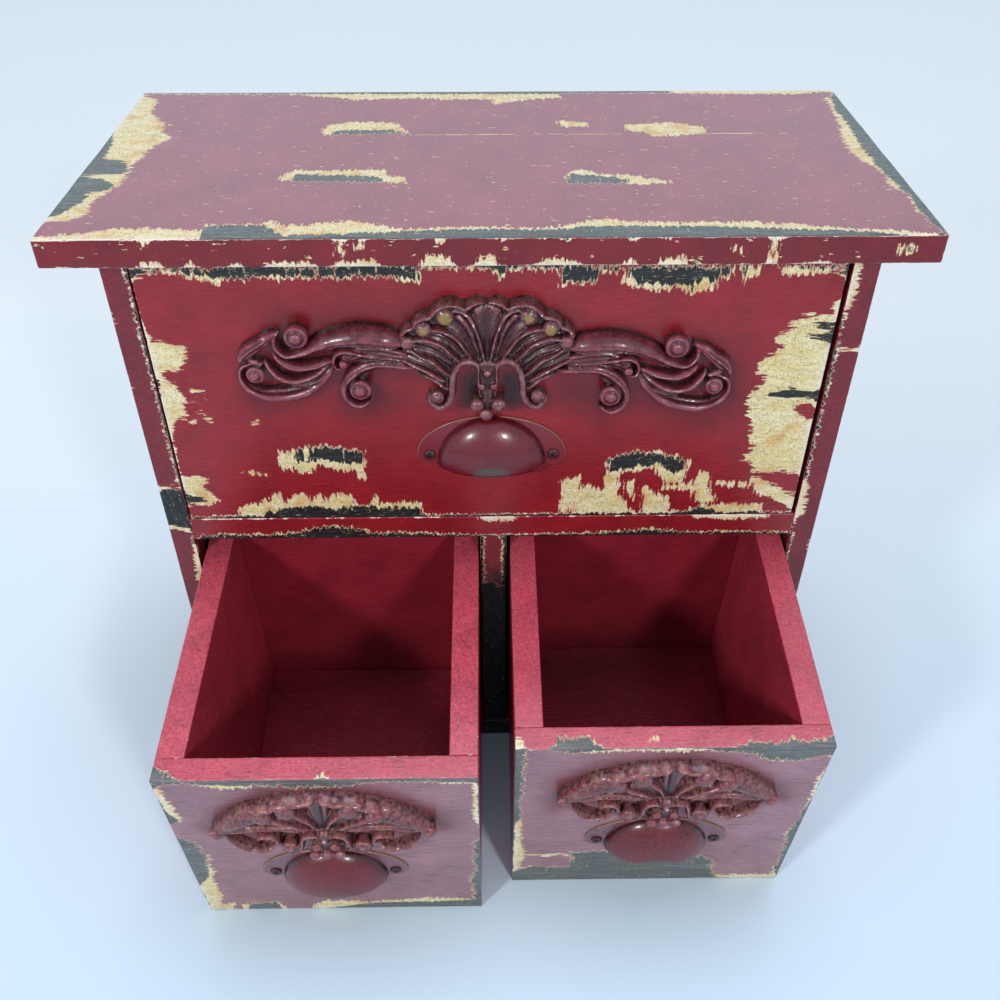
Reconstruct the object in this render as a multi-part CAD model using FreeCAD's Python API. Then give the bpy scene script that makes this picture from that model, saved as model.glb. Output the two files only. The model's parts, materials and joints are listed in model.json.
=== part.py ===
import FreeCAD, Part
import math
import os

# Mini chest of three drawers in painted softwood, with carved shell and scroll
# ornaments and pressed cup pulls. All sizes are in millimetres.
# The origin is the middle of the case's underside. X runs to the right, Y runs
# to the back and Z runs up. The two lower drawers stand pulled out and tipped.

Vector = FreeCAD.Vector
RIGHT = Vector(1, 0, 0)
UP = Vector(0, 0, 1)
FRONTWARD = Vector(0, -1, 0)
CENTRE = Vector(0, 0, 0)
same_place = 1e-6

# Case boards
top_width = 350.0
top_depth = 170.5
top_thickness = 12.0
top_overhang = 16.5
top_arris = 1.0
side_thickness = 11.0
bottom_thickness = 12.0
shelf_thickness = 13.0
divider_thickness = 13.0
back_thickness = 3.0
upper_opening_height = 141.0
lower_opening_height = 143.0

# Drawer boards
front_thickness = 11.0
front_arris = 0.7
wall_thickness = 12.5
rear_thickness = 6.0
floor_thickness = 3.5
drawer_rear_gap = 1.5
upper_side_gap = 1.5
upper_headroom = 3.9
upper_drawer_shift = -0.6
upper_running_gap = 0.1
lower_side_gap = 1.75
left_headroom = 12.7
right_headroom = 9.2
left_drawer_shift = 0.9
right_drawer_shift = 0.1
lower_running_gap = 0.8

# How far the lower drawers stand open, and the case nail that they tip over
left_pull_out = 108.5
right_pull_out = 94.5
table_gap = 0.15
pivot_setback = 6.0
pivot_nail_radius = 1.2
pivot_nail_length = 34.0
pivot_nail_head_radius = 2.4
pivot_nail_head_thickness = 1.0
pivot_nail_gap = 0.05

# Cut nails and brads, square in section. The nails are set below the paint and filled over.
nail_half_width = 1.0
nail_length = 30.0
nail_set = 0.6
nail_edge_distance = 28.0
brad_half_width = 0.6
brad_length = 20.0
brad_edge_distance = 22.0
back_brad_length = 9.0

# Cup pulls
cup_half_width = 25.0
cup_height = 25.5
cup_depth = 13.0
cup_wall = 1.1
cup_rim_points = 14
cup_levels = 6
cup_flat_top = 0.25
flange_half_width = 34.3
flange_height = 21.0
flange_thickness = 1.0
ear_radius = 5.9
screw_half_spacing = 28.4
screw_above_lip = 4.4
upper_lip_height = 34.4
left_lip_height = 41.7
right_lip_height = 45.0

# Pull screws
screw_head_radius = 2.65
screw_head_height = 1.5
screw_edge_height = 0.6
screw_crown_radius = 1.6
screw_head_sides = 12
screw_shank_radius = 1.4
screw_shank_sides = 8
flange_points = 20
ear_sides = 16
screw_shank_length = 11.5
cross_half_length = 1.7
cross_half_width = 0.4
cross_depth = 0.9

# Carved ornaments: their outlines below are in carving units
carving_unit = 1.0
bead_sides = 8
bead_shoulder = 0.55
bead_crown = 0.86
bead_crown_share = 0.72
bead_tip_share = 0.3
carving_shoulder = 0.5
palmette_shift = -1.5
palmette_hang = 21.8
palmette_gap = 0.2
palmette_plate = 2.6
wing_bead_radius = 5.6
right_wing_shift = -1.0
right_wing_turn = 4.2
crest_hang = 12.8
crest_gap = 4.0
crest_plate = 3.2

# Derived sizes
case_width = top_width - 2 * top_overhang
case_depth = top_depth - top_overhang
case_front = -case_depth / 2
case_back = case_depth / 2
inner_half_width = case_width / 2 - side_thickness
board_depth = case_depth - back_thickness
shelf_underside = bottom_thickness + lower_opening_height
shelf_top = shelf_underside + shelf_thickness
case_height = shelf_top + upper_opening_height
lower_opening_width = inner_half_width - divider_thickness / 2
lower_opening_centre = divider_thickness / 2 + lower_opening_width / 2
drawer_length = board_depth - drawer_rear_gap
upper_drawer_width = 2 * inner_half_width - 2 * upper_side_gap
lower_drawer_width = lower_opening_width - 2 * lower_side_gap
upper_drawer_height = upper_opening_height - upper_running_gap - upper_headroom
left_drawer_height = lower_opening_height - lower_running_gap - left_headroom
right_drawer_height = lower_opening_height - lower_running_gap - right_headroom
pull_top = max(cup_height, screw_above_lip + flange_height)
palmette_height = upper_lip_height + pull_top + palmette_gap + palmette_hang
crest_above_lip = pull_top + crest_gap + crest_hang
pivot_y = case_front + pivot_setback
pivot_z = bottom_thickness / 2


def block(x_range, y_range, z_range):
    """A board between the two ends given along each axis."""
    size = [high - low for low, high in (x_range, y_range, z_range)]
    return Part.makeBox(*size, Vector(x_range[0], y_range[0], z_range[0]))


def rod(radius, length, start, direction):
    """A round bar from its start point along a direction."""
    return Part.makeCylinder(radius, length, start, direction)


def square_bar(half_width, length, start, direction):
    """A square bar from the middle of its end face, along X, Y or Z."""
    ends = (start, start + direction * length)
    ranges = []
    for axis in range(3):
        spread = 0 if direction[axis] else half_width
        places = [end[axis] for end in ends]
        ranges.append((min(places) - spread, max(places) + spread))
    return block(*ranges)


def ring_of_points(centre, radius, proud, sides):
    """A regular outline around a point of the drawer's face, proud of it."""
    ring = []
    for index in range(sides):
        angle = 2 * math.pi * index / sides
        across = centre[0] + radius * math.cos(angle)
        up = centre[1] + radius * math.sin(angle)
        ring.append(Vector(across, -proud, up))
    return ring


def flat_face(points):
    """A flat face inside a closed outline."""
    return Part.Face(Part.makePolygon(points + points[:1]))


def faceted_skin(rings):
    """A closed solid over rings of equally many points, skinned with flat triangles."""
    faces = [flat_face(rings[0]), flat_face(rings[-1])]
    for ring, following in zip(rings, rings[1:]):
        for index in range(len(ring)):
            after = (index + 1) % len(ring)
            faces.append(flat_face([ring[index], ring[after], following[after]]))
            faces.append(flat_face([ring[index], following[after], following[index]]))
    solid = Part.Solid(Part.Shell(faces))
    if solid.Volume < 0:
        solid.reverse()
    return solid


def faceted_rod(centre, radius, sides, start_proud, end_proud):
    """A many-sided rod that stands square to the drawer's face."""
    return faceted_skin([ring_of_points(centre, radius, proud, sides)
                         for proud in (start_proud, end_proud)])


def face_edges(board):
    """The edges around the face of a drawer front, which lies at Y = 0."""
    return [edge for edge in board.Edges if abs(edge.BoundBox.YMax) < same_place]


def fuse_all(solids):
    """One clean solid from pieces that overlap."""
    return solids[0].multiFuse(solids[1:]).removeSplitter()


def mirrored(solid):
    """The same piece on the other side of its own middle plane."""
    return solid.mirror(CENTRE, RIGHT)


# Carving: each arm is a ridge with a flat back that lies on the drawer's face.
# Its middle line is smooth through a few points (across, up), and its width and
# height are given at its start, middle and end.

def on_carving(point):
    """A point (across, up) of a carving's outline, on the drawer's face."""
    return Vector(point[0], 0, point[1]) * carving_unit


def through_three(values, share):
    """The parabola through a start, a middle and an end value."""
    start, middle, end = values
    bulge = middle - (start + end) / 2
    return start + (end - start) * share + 4 * bulge * share * (1 - share)


def ridge_section(centre, side, width, height):
    """The five-cornered outline of a ridge: flat back, two walls and a crest."""
    corners = [(-1, 0), (-1, carving_shoulder), (0, 1), (1, carving_shoulder), (1, 0)]
    return [centre + side * (width / 2 * across) + FRONTWARD * (height * proud)
            for across, proud in corners]


def carved_arm(points, widths, heights, stations):
    """A tapering carved ridge along a smooth line, with flat facets."""
    line = Part.BSplineCurve()
    line.interpolate([on_carving(point) for point in points])
    centres = line.toShape().discretize(Number=stations)
    sections = []
    for index, centre in enumerate(centres):
        before = centres[max(index - 1, 0)]
        after = centres[min(index + 1, stations - 1)]
        side = (after - before).normalize().cross(FRONTWARD)
        share = index / (stations - 1)
        width = carving_unit * through_three(widths, share)
        height = carving_unit * through_three(heights, share)
        sections.append(ridge_section(centre, side, width, height))
    return faceted_skin(sections)


def bead(centre, radius, height):
    """A carved berry that stands on the face."""
    levels = [
        (1.0, 0.0),
        (1.0, bead_shoulder),
        (bead_crown_share, bead_crown),
        (bead_tip_share, 1.0),
    ]
    middle = [carving_unit * place for place in centre]
    reach = carving_unit * radius
    rise = carving_unit * height
    return faceted_skin([ring_of_points(middle, reach * share, rise * proud, bead_sides)
                         for share, proud in levels])


def ground_plate(outline, thickness):
    """The thin ground under the carving, mirrored to both sides of the middle."""
    half = [on_carving(point) for point in outline]
    other_half = [Vector(-point.x, 0, point.z) for point in reversed(half)]
    return flat_face(half + other_half).extrude(FRONTWARD * thickness * carving_unit)


def palmette():
    """The fluted shell in the middle of the upper drawer, over a hanging drop."""
    half = [
        carved_arm([(1.1, 6.7), (4.2, 23.3), (10.0, 33.4), (15.6, 32.9)], (2, 2.8, 3.4), (4, 7, 6), 7),
        carved_arm([(5.4, 8.0), (8.2, 13.0), (15.1, 22.8), (25.0, 25.0)], (2, 2.8, 3.6), (4, 7.5, 7), 6),
        carved_arm([(11.0, 7.0), (13.9, 11.0), (22.0, 19.3), (31.4, 19.6)], (2, 2.8, 3.6), (4, 7.5, 7), 6),
        carved_arm([(15.0, 0.5), (18.0, 3.5), (23.5, 9.3), (31.0, 13.5)], (2, 2.8, 3.6), (4, 7, 6.5), 6),
        carved_arm([(17.4, -2.5), (20.7, 0.4), (31.6, 7.2), (37.6, 10.2)], (2, 2.8, 3.0), (5, 6.5, 4.5), 6),
        carved_arm([(16.6, -6.6), (22.1, -1.3), (30.4, 1.1)], (2.5, 3.0, 1.2), (5, 5, 2.5), 5),
        carved_arm([(2.6, 0.5), (4.4, 7.1), (7.2, 9.1), (11.1, 8.4), (14.0, 3.9), (15.3, -2.7), (15.7, -8.1),
                    (17.9, -12.9), (21.4, -14.6), (24.7, -12.2)], (3.2, 3.8, 2.4), (6, 7.5, 6), 14),
        bead((17.3, 31.3), 3.9, 9.0),
        bead((26.5, 25.4), 3.6, 8.5),
        bead((33.1, 18.2), 3.4, 7.5),
        bead((22.4, -9.0), 3.6, 7.5),
        bead((4.7, -12.7), 3.1, 8.0),
    ]
    ground = ground_plate([(0, 37.4), (5.1, 36.6), (9.0, 35.4), (18.6, 35.6), (25.0, 30.6), (30.6, 26.6),
                           (36.2, 20.0), (38.0, 11.0), (30.4, 3.6), (21, -3.4), (16, -6.0), (12, 4.0),
                           (4, 6.2), (4, -14)], palmette_plate)
    drop = carved_arm([(0, 9), (0, -4), (0, -16)], (7.6, 7.0, 8.0), (7, 6.5, 6), 4)
    drop_end = bead((0, -18.4), 3.4, 7.0)
    return fuse_all([ground, drop, drop_end] + half + [mirrored(arm) for arm in half])


def scroll_wing():
    """One scrolling wing, which runs to the right from the middle line."""
    return fuse_all([
        carved_arm([(35.5, 17.9), (44.5, 20.6), (54.5, 21.5), (64.8, 19.9), (72.2, 17.0), (78.7, 13.8),
                    (85.0, 12.4), (88.7, 15.1), (89.7, 20.6)], (7.5, 9.5, 3.0), (6.5, 8.5, 5), 13),
        carved_arm([(64.5, 8.8), (66.3, 5.9), (72.2, -0.8), (79.0, -5.1), (87.7, -7.5), (96.7, -7.5),
                    (103.1, -4.3), (105.9, 0.7), (105.2, 5.6), (99.1, 8.0)],
                   (3.5, 6.8, 2.6), (5, 7.0, 5.5), 16),
        carved_arm([(87.5, 23.0), (96.1, 17.8), (102.4, 13.4), (106.6, 8.0)],
                   (3.6, 6.4, 4.0), (5.5, 7, 6), 6),
        carved_arm([(66.0, 9.4), (73.8, 2.9), (80.3, 0.2), (85.6, 0.0), (90.0, 1.8), (95.6, 9.6)],
                   (4, 4.6, 2.2), (5, 6, 4.5), 9),
        carved_arm([(64.5, 10.0), (74.5, 7.4), (81.8, 6.6), (87.6, 9.1), (91.4, 13.5)],
                   (4, 4.2, 2.4), (5, 6.0, 5), 8),
        carved_arm([(32.2, 5.1), (40.4, 6.9), (48.1, 7.6), (54.5, 5.2), (59.6, 0.4), (62.1, -4.6),
                    (61.6, -9.6), (58.7, -12.8), (54.0, -13.2)], (4, 5.0, 2.8), (5, 6.5, 5.5), 14),
        carved_arm([(34.0, 11.0), (48.0, 13.6), (60.0, 12.6), (66.0, 8.6)],
                   (9, 7.5, 3.5), (3.5, 4.5, 4.5), 7),
        carved_arm([(97.0, 7.4), (100.5, 10.0), (104.5, 12.0)], (3.0, 4.5, 3.0), (4.5, 5.5, 4), 4),
        bead((79.9, 21.8), wing_bead_radius, 10.0),
        bead((55.4, -3.9), wing_bead_radius, 9.5),
        bead((99.8, 3.0), 4.4, 7.5),
    ])


def crest():
    """The spreading shell and scrolls over a lower drawer's pull."""
    half = [
        carved_arm([(1.5, 10), (3.8, 19.5), (8.6, 26.5), (13.4, 30.0)], (2, 2.8, 4.0), (5, 8, 8), 6),
        carved_arm([(5.5, 9), (11.0, 16.5), (18.0, 21.5), (24.0, 25.0)], (2, 2.8, 4.0), (5, 8, 8), 6),
        carved_arm([(8, 24), (22.0, 25.0), (35.0, 19.2), (48.0, 8.5)], (13, 12.5, 5), (5.5, 7.5, 6.5), 9),
        carved_arm([(8.5, 7), (20.0, 12.5), (32.0, 12.8), (44.0, 8.0)], (3, 3.0, 3.0), (5, 7, 5), 7),
        carved_arm([(42.5, 7.5), (40.6, 0), (36.4, -6.3), (29.8, -8.8), (23.4, -6.2), (20.6, 0.2),
                    (24.4, 5.4)], (2.4, 3.2, 2.2), (5, 6, 5), 12),
        carved_arm([(1.4, 1.0), (4.6, 6.4), (8.8, 6.0), (10.4, -1.4), (13.2, -8.4), (18.6, -8.4)],
                   (2.4, 2.8, 2.0), (6, 7, 5.5), 10),
        bead((13.6, 31.0), 4.4, 9.5),
        bead((24.4, 25.4), 4.2, 9.0),
        bead((46.4, 8.6), 3.8, 8.0),
        bead((16.4, -3.8), 3.9, 7.5),
        bead((4.2, -1.6), 2.7, 8.5),
        bead((5.6, -9.2), 2.6, 8.5),
    ]
    ground = ground_plate([(0, 36.0), (13, 34.5), (25, 30.0), (36, 22.8), (47.5, 11.0), (40, 8.0),
                           (20, 9.0), (9, 3.0), (7.5, -9.5)], crest_plate)
    lip = bead((0, -9.6), 3.2, 8.5)
    return fuse_all([ground, lip] + half + [mirrored(arm) for arm in half])


# Cup pull: its origin is the middle of the lip, on the drawer's face.

def cup_section(half_width, depth, level):
    """Half an ellipse at one height of the cup, closed along the drawer's face."""
    points = []
    for index in range(cup_rim_points + 1):
        angle = math.pi * index / cup_rim_points
        points.append(Vector(half_width * math.cos(angle), -depth * math.sin(angle), level))
    return points


def cup_body(inset):
    """A quarter of a rounded dome, smaller all over by the inset."""
    sections = []
    for index in range(cup_levels + 1):
        share = index / (cup_levels + cup_flat_top)
        shrink = math.cos(share * math.pi / 2)
        rise = math.sin(share * math.pi / 2)
        sections.append(cup_section((cup_half_width - inset) * shrink,
                                    (cup_depth - inset) * shrink,
                                    (cup_height - inset) * rise))
    return faceted_skin(sections)


def flange():
    """The thin plate behind the cup, with an ear for each screw."""
    arch = []
    for index in range(flange_points + 1):
        angle = math.pi * index / flange_points
        arch.append(Vector(flange_half_width * math.cos(angle), 0,
                           screw_above_lip + flange_height * math.sin(angle)))
    ears = [faceted_rod((side * screw_half_spacing, screw_above_lip), ear_radius, ear_sides,
                        0, flange_thickness)
            for side in (-1, 1)]
    return fuse_all([flat_face(arch).extrude(FRONTWARD * flange_thickness)] + ears)


def shank(side, lip_height, deep, proud):
    """The round of a pull screw's shank, from inside the board to its front end."""
    centre = (side * screw_half_spacing, lip_height + screw_above_lip)
    return faceted_rod(centre, screw_shank_radius, screw_shank_sides, -deep, proud)


def cup_pull():
    """A pressed cup pull, open below and at the back, with its flange."""
    cavity = cup_body(cup_wall)
    mouth = cup_section(cup_half_width - cup_wall, cup_depth - cup_wall, 0)
    cavity = cavity.fuse(flat_face(mouth).extrude(UP * -ear_radius))
    pull = fuse_all([cup_body(0), flange()]).cut(cavity)
    return cut_away(pull, [shank(side, 0, 0, flange_thickness) for side in (-1, 1)])


def pull_screw(side):
    """One crosshead screw of a pull, with its shank in the drawer front."""
    centre = (side * screw_half_spacing, screw_above_lip)
    levels = [
        (screw_head_radius, 0),
        (screw_head_radius, screw_edge_height),
        (screw_crown_radius, screw_head_height),
    ]
    head = faceted_skin([ring_of_points(centre, radius, flange_thickness + proud, screw_head_sides)
                         for radius, proud in levels])
    crown = -flange_thickness - screw_head_height
    slots = [block((centre[0] - reach, centre[0] + reach), (crown, crown + cross_depth),
                   (centre[1] - rise, centre[1] + rise))
             for reach, rise in ((cross_half_length, cross_half_width),
                                 (cross_half_width, cross_half_length))]
    depth = screw_shank_length - flange_thickness
    return fuse_all([cut_away(head, slots), shank(side, 0, depth, flange_thickness)])


def screw_holes(lip_height):
    """Pilot holes in a drawer front, exactly as wide as the screws' shanks."""
    depth = screw_shank_length - flange_thickness
    return [shank(side, lip_height, depth, 0) for side in (-1, 1)]


# Drawers: each is built closed and level, with its origin at the bottom edge of
# its face, in the middle.

def drawer_brads(width, height):
    """Brads through both side walls into the thin rear board."""
    brads = []
    middle_y = drawer_length - rear_thickness / 2
    for side in (-1, 1):
        for level in (brad_edge_distance, height - brad_edge_distance):
            start = Vector(side * width / 2, middle_y, level)
            brads.append(square_bar(brad_half_width, brad_length, start, RIGHT * -side))
    return brads


def cut_away(solid, tools):
    """A solid with the tools' places taken out of it."""
    return solid.cut(Part.Compound(tools))


def drawer_boards(width, height, lip_height):
    """The front, two walls, rear and floor of one drawer, and its brads."""
    half = width / 2
    inside = half - wall_thickness
    behind_front = (front_thickness, drawer_length)
    front = block((-half, half), (0, front_thickness), (0, height))
    front = front.makeChamfer(front_arris, face_edges(front))
    brads = drawer_brads(width, height)
    left = block((-half, -inside), behind_front, (0, height))
    right = block((inside, half), behind_front, (0, height))
    rear = block((-inside, inside), (drawer_length - rear_thickness, drawer_length), (0, height))
    floor = block((-inside, inside), (front_thickness, drawer_length - rear_thickness),
                  (0, floor_thickness))
    return {
        "front": cut_away(front, screw_holes(lip_height)),
        "left_wall": cut_away(left, brads),
        "right_wall": cut_away(right, brads),
        "rear": cut_away(rear, brads),
        "floor": floor,
        "brads": Part.Compound(brads),
    }


def raised(shape, across, up):
    """A copy moved across and up on the drawer's face."""
    return shape.translated(Vector(across, 0, up))


def pull_with_screws(lip_height):
    """A pull and its screws at their height on a drawer's face."""
    return {
        "cup_pull": raised(cup_pull(), 0, lip_height),
        "pull_screws": raised(Part.Compound([pull_screw(-1), pull_screw(1)]), 0, lip_height),
    }


def upper_drawer():
    """The wide drawer with its shell, two scroll wings and pull."""
    pieces = drawer_boards(upper_drawer_width, upper_drawer_height, upper_lip_height)
    pieces.update(pull_with_screws(upper_lip_height))
    shell = palmette()
    wing = scroll_wing()
    right_wing = wing.rotated(CENTRE, -FRONTWARD, right_wing_turn)
    right_wing.translate(Vector(right_wing_shift, 0, 0))
    pieces["palmette"] = raised(shell, palmette_shift, palmette_height)
    pieces["left_scroll"] = raised(mirrored(wing).cut(shell), palmette_shift, palmette_height)
    pieces["right_scroll"] = raised(right_wing.cut(shell), palmette_shift, palmette_height)
    return pieces


def lower_drawer(height, lip_height):
    """One of the two small drawers with its crest and pull."""
    pieces = drawer_boards(lower_drawer_width, height, lip_height)
    pieces.update(pull_with_screws(lip_height))
    pieces["crest"] = raised(crest(), 0, lip_height + crest_above_lip)
    return pieces


def tip_angle(pull_out):
    """The tip, in degrees, at which the drawer's front edge comes down to the table."""
    reach = pull_out + pivot_setback
    rise = bottom_thickness - pivot_z + lower_running_gap
    radius = math.hypot(rise, reach)
    return math.degrees(math.acos((table_gap - pivot_z) / radius) - math.atan2(reach, rise))


def tipped_out(shape, centre_x, pull_out):
    """A closed drawer's piece, set in its opening, tipped over the nail and pulled out."""
    angle = tip_angle(pull_out)
    placed = shape.translated(Vector(centre_x, case_front, bottom_thickness + lower_running_gap))
    placed.rotate(Vector(0, pivot_y, pivot_z), RIGHT, angle)
    tilt = math.radians(angle)
    placed.translate(Vector(0, -math.cos(tilt), -math.sin(tilt)) * pull_out)
    return placed


# Case

def pivot_nail(side):
    """The case nail at the front of the bottom board, which a drawer tips over."""
    outside = Vector(side * case_width / 2, pivot_y, pivot_z)
    inward = RIGHT * -side
    crown = outside - inward * pivot_nail_head_thickness
    head = rod(pivot_nail_head_radius, pivot_nail_head_thickness, crown, inward)
    return fuse_all([head, rod(pivot_nail_radius, pivot_nail_length, outside, inward)])


def pivot_hole(side):
    """The hole around the case nail."""
    outside = Vector(side * case_width / 2, pivot_y, pivot_z)
    return rod(pivot_nail_radius + pivot_nail_gap, pivot_nail_length, outside, RIGHT * -side)


def panel_nails(side):
    """Nails through one side panel into the shelf and the bottom board."""
    shelf_level = shelf_underside + shelf_thickness / 2
    bottom_level = bottom_thickness / 2
    places = [
        (case_front + nail_edge_distance, shelf_level),
        (case_back - nail_edge_distance, shelf_level),
        (case_back - nail_edge_distance, bottom_level),
    ]
    head = side * (case_width / 2 - nail_set)
    return [square_bar(nail_half_width, nail_length, Vector(head, y, z), RIGHT * -side)
            for y, z in places]


def top_nails():
    """Nails down through the top board into the side panels."""
    head = case_height + top_thickness - nail_set
    panel_middle = case_width / 2 - side_thickness / 2
    return [square_bar(nail_half_width, nail_length, Vector(side * panel_middle, y, head), -UP)
            for side in (-1, 1)
            for y in (case_front + nail_edge_distance, case_back - nail_edge_distance)]


def back_brads():
    """Brads through the back panel into the shelf and the bottom board."""
    levels = (bottom_thickness / 2, shelf_underside + shelf_thickness / 2)
    return [square_bar(brad_half_width, back_brad_length, Vector(x, case_back, level), FRONTWARD)
            for level in levels
            for x in (-inner_half_width / 2, inner_half_width / 2)]


def case_pieces():
    """The boards, nails and brads of the case."""
    half = case_width / 2
    inner = (-inner_half_width, inner_half_width)
    depth = (case_front, case_front + board_depth)
    left_nails = panel_nails(-1)
    right_nails = panel_nails(1)
    side_nails = left_nails + right_nails
    lid_nails = top_nails()
    brads = back_brads()
    pivot_holes = [pivot_hole(-1), pivot_hole(1)]
    top = block((-top_width / 2, top_width / 2), (case_front - top_overhang, case_back),
                (case_height, case_height + top_thickness))
    top = top.makeChamfer(top_arris, top.Edges)
    left = block((-half, -inner_half_width), (case_front, case_back), (0, case_height))
    right = block((inner_half_width, half), (case_front, case_back), (0, case_height))
    bottom = block(inner, depth, (0, bottom_thickness))
    shelf = block(inner, depth, (shelf_underside, shelf_top))
    divider = block((-divider_thickness / 2, divider_thickness / 2), depth,
                    (bottom_thickness, shelf_underside))
    back = block(inner, (case_back - back_thickness, case_back), (0, case_height))
    return {
        "top_board": cut_away(top, lid_nails),
        "left_side_panel": cut_away(left, left_nails + lid_nails + pivot_holes[:1]),
        "right_side_panel": cut_away(right, right_nails + lid_nails + pivot_holes[1:]),
        "bottom_board": cut_away(bottom, side_nails + brads + pivot_holes),
        "shelf": cut_away(shelf, side_nails + brads),
        "centre_divider": divider,
        "back_panel": cut_away(back, brads),
        "top_board_nails": Part.Compound(lid_nails),
        "left_panel_nails": Part.Compound(left_nails),
        "right_panel_nails": Part.Compound(right_nails),
        "back_panel_brads": Part.Compound(brads),
        "left_pivot_nail": pivot_nail(-1),
        "right_pivot_nail": pivot_nail(1),
    }


def all_pieces():
    """Every sub-part by its name, where it stands in the photographed pose."""
    pieces = case_pieces()
    upper_place = Vector(upper_drawer_shift, case_front, shelf_top + upper_running_gap)
    for name, shape in upper_drawer().items():
        pieces["upper_" + name] = shape.translated(upper_place)
    left_centre = left_drawer_shift - lower_opening_centre
    for name, shape in lower_drawer(left_drawer_height, left_lip_height).items():
        pieces["left_drawer_" + name] = tipped_out(shape, left_centre, left_pull_out)
    right_centre = right_drawer_shift + lower_opening_centre
    for name, shape in lower_drawer(right_drawer_height, right_lip_height).items():
        pieces["right_drawer_" + name] = tipped_out(shape, right_centre, right_pull_out)
    return pieces


os.makedirs("parts", exist_ok=True)
for name, shape in all_pieces().items():
    shape.exportStep("parts/" + name + ".step")
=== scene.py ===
import bpy
import json
import math
import numpy as np
from functools import partial
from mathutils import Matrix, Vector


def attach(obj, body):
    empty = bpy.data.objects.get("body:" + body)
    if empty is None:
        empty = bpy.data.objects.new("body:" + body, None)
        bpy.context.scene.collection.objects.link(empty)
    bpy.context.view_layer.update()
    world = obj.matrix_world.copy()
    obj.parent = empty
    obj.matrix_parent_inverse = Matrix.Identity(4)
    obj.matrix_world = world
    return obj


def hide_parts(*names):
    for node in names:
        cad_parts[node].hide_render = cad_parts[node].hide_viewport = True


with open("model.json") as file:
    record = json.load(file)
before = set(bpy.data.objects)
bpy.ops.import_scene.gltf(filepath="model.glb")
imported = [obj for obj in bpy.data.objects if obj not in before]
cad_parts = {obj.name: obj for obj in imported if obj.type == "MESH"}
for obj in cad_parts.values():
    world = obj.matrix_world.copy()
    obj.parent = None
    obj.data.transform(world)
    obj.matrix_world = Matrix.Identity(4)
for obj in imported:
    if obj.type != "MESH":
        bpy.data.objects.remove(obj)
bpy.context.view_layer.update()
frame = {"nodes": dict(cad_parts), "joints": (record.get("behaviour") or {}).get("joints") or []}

# The room: a pale seamless floor under a soft white sky, with one broad lamp overhead, two
# window-like softboxes in front and the glare of a window behind. The camera looks down.

CAMERA_PLACE = (-0.00175, -0.4566, 0.4902)
CAMERA_PITCH = 39.39
CAMERA_YAW = -0.77
CAMERA_LENS = 36.8
SENSOR_WIDTH = 36
NEAREST_SEEN = 0.01
SKY_COLOUR = "dfeefb"
SKY_SEEN = 1.0
SKY_GLOW = 0.32
FLOOR_COLOUR = "c2d9ea"
FLOOR_FAR_LIT_COLOUR = "fbffff"
FLOOR_NEAR_Y, FLOOR_FAR_Y = -0.35, 0.45
FLOOR_REACH = 6.0
FLOOR_ROUGHNESS = 0.6
COLOURS = {"data_type": "RGBA", "output": 2}


def colour(code):
    """Linear colour from an sRGB hex code: the standard curve, channel by channel."""
    channels = [int(code[place:place + 2], 16) / 255 for place in (0, 2, 4)]
    return (*[((c + 0.055) / 1.055) ** 2.4 if c > 0.04045 else c / 12.92 for c in channels], 1.0)


def add(tree, kind, inputs=(), output=0, **settings):
    """One node with its settings, and with values or links for its inputs, which are given in
    turn or by name or number. It returns the chosen output socket."""
    node = tree.nodes.new("ShaderNode" + kind)
    for name, value in settings.items():
        setattr(node, name, value)
    for name, value in inputs.items() if isinstance(inputs, dict) else enumerate(inputs):
        if isinstance(value, bpy.types.NodeSocket):
            tree.links.new(value, node.inputs[name])
        else:
            node.inputs[name].default_value = value
    return node.outputs[output] if node.outputs else None


def new_material(name):
    """An empty material, and the function above for its own tree."""
    material = bpy.data.materials.new(name)
    material.use_nodes = True
    material.node_tree.nodes.clear()
    return material, partial(add, material.node_tree)


scene = bpy.context.scene
scene.view_settings.view_transform = "Standard"
camera = bpy.data.objects.new("camera", bpy.data.cameras.new("camera"))
camera.location = CAMERA_PLACE
camera.rotation_euler = (math.radians(90 - CAMERA_PITCH), 0, math.radians(CAMERA_YAW))
camera.data.lens = CAMERA_LENS
camera.data.sensor_width = SENSOR_WIDTH
camera.data.clip_start = NEAREST_SEEN
scene.collection.objects.link(camera)
scene.camera = camera

# The sky shows white to the eye and to reflections, and is dimmer as a light.
world = bpy.data.worlds.new("soft_sky")
world.use_nodes = True
world.node_tree.nodes.clear()
scene.world = world
node = partial(add, world.node_tree)
seen = node("LightPath", output="Is Camera Ray")
for ray in ("Is Glossy Ray", "Is Transmission Ray"):
    seen = node("Math", (seen, node("LightPath", output=ray)), operation="MAXIMUM")
strength = node("MapRange", {"Value": seen, "To Min": SKY_GLOW, "To Max": SKY_SEEN})
node("OutputWorld", (node("Background", (colour(SKY_COLOUR), strength)),))

# Matt floor: pale blue-white paper, with painted light that makes it a little brighter towards the
# back. It keeps the shadow.
floor_paper, node = new_material("floor_paper")
depth = node("SeparateXYZ", (node("TexCoord", output="Object"),), "Y")
depth = node("MapRange", (depth, FLOOR_NEAR_Y, FLOOR_FAR_Y))
paper_with_painted_light = node("Mix", {0: depth, 6: colour(FLOOR_COLOUR), 7: colour(FLOOR_FAR_LIT_COLOUR)}, **COLOURS)
shader = node("BsdfPrincipled", {"Base Color": paper_with_painted_light, "Roughness": FLOOR_ROUGHNESS,
                                 "Specular IOR Level": 0.2})
node("OutputMaterial", (shader,))
corners = [(x * FLOOR_REACH, y * FLOOR_REACH, 0) for x, y in ((-1, -1), (1, -1), (1, 1), (-1, 1))]
floor_mesh = bpy.data.meshes.new("floor")
floor_mesh.from_pydata(corners, [], [(0, 1, 2, 3)])
floor_mesh.materials.append(floor_paper)
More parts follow.
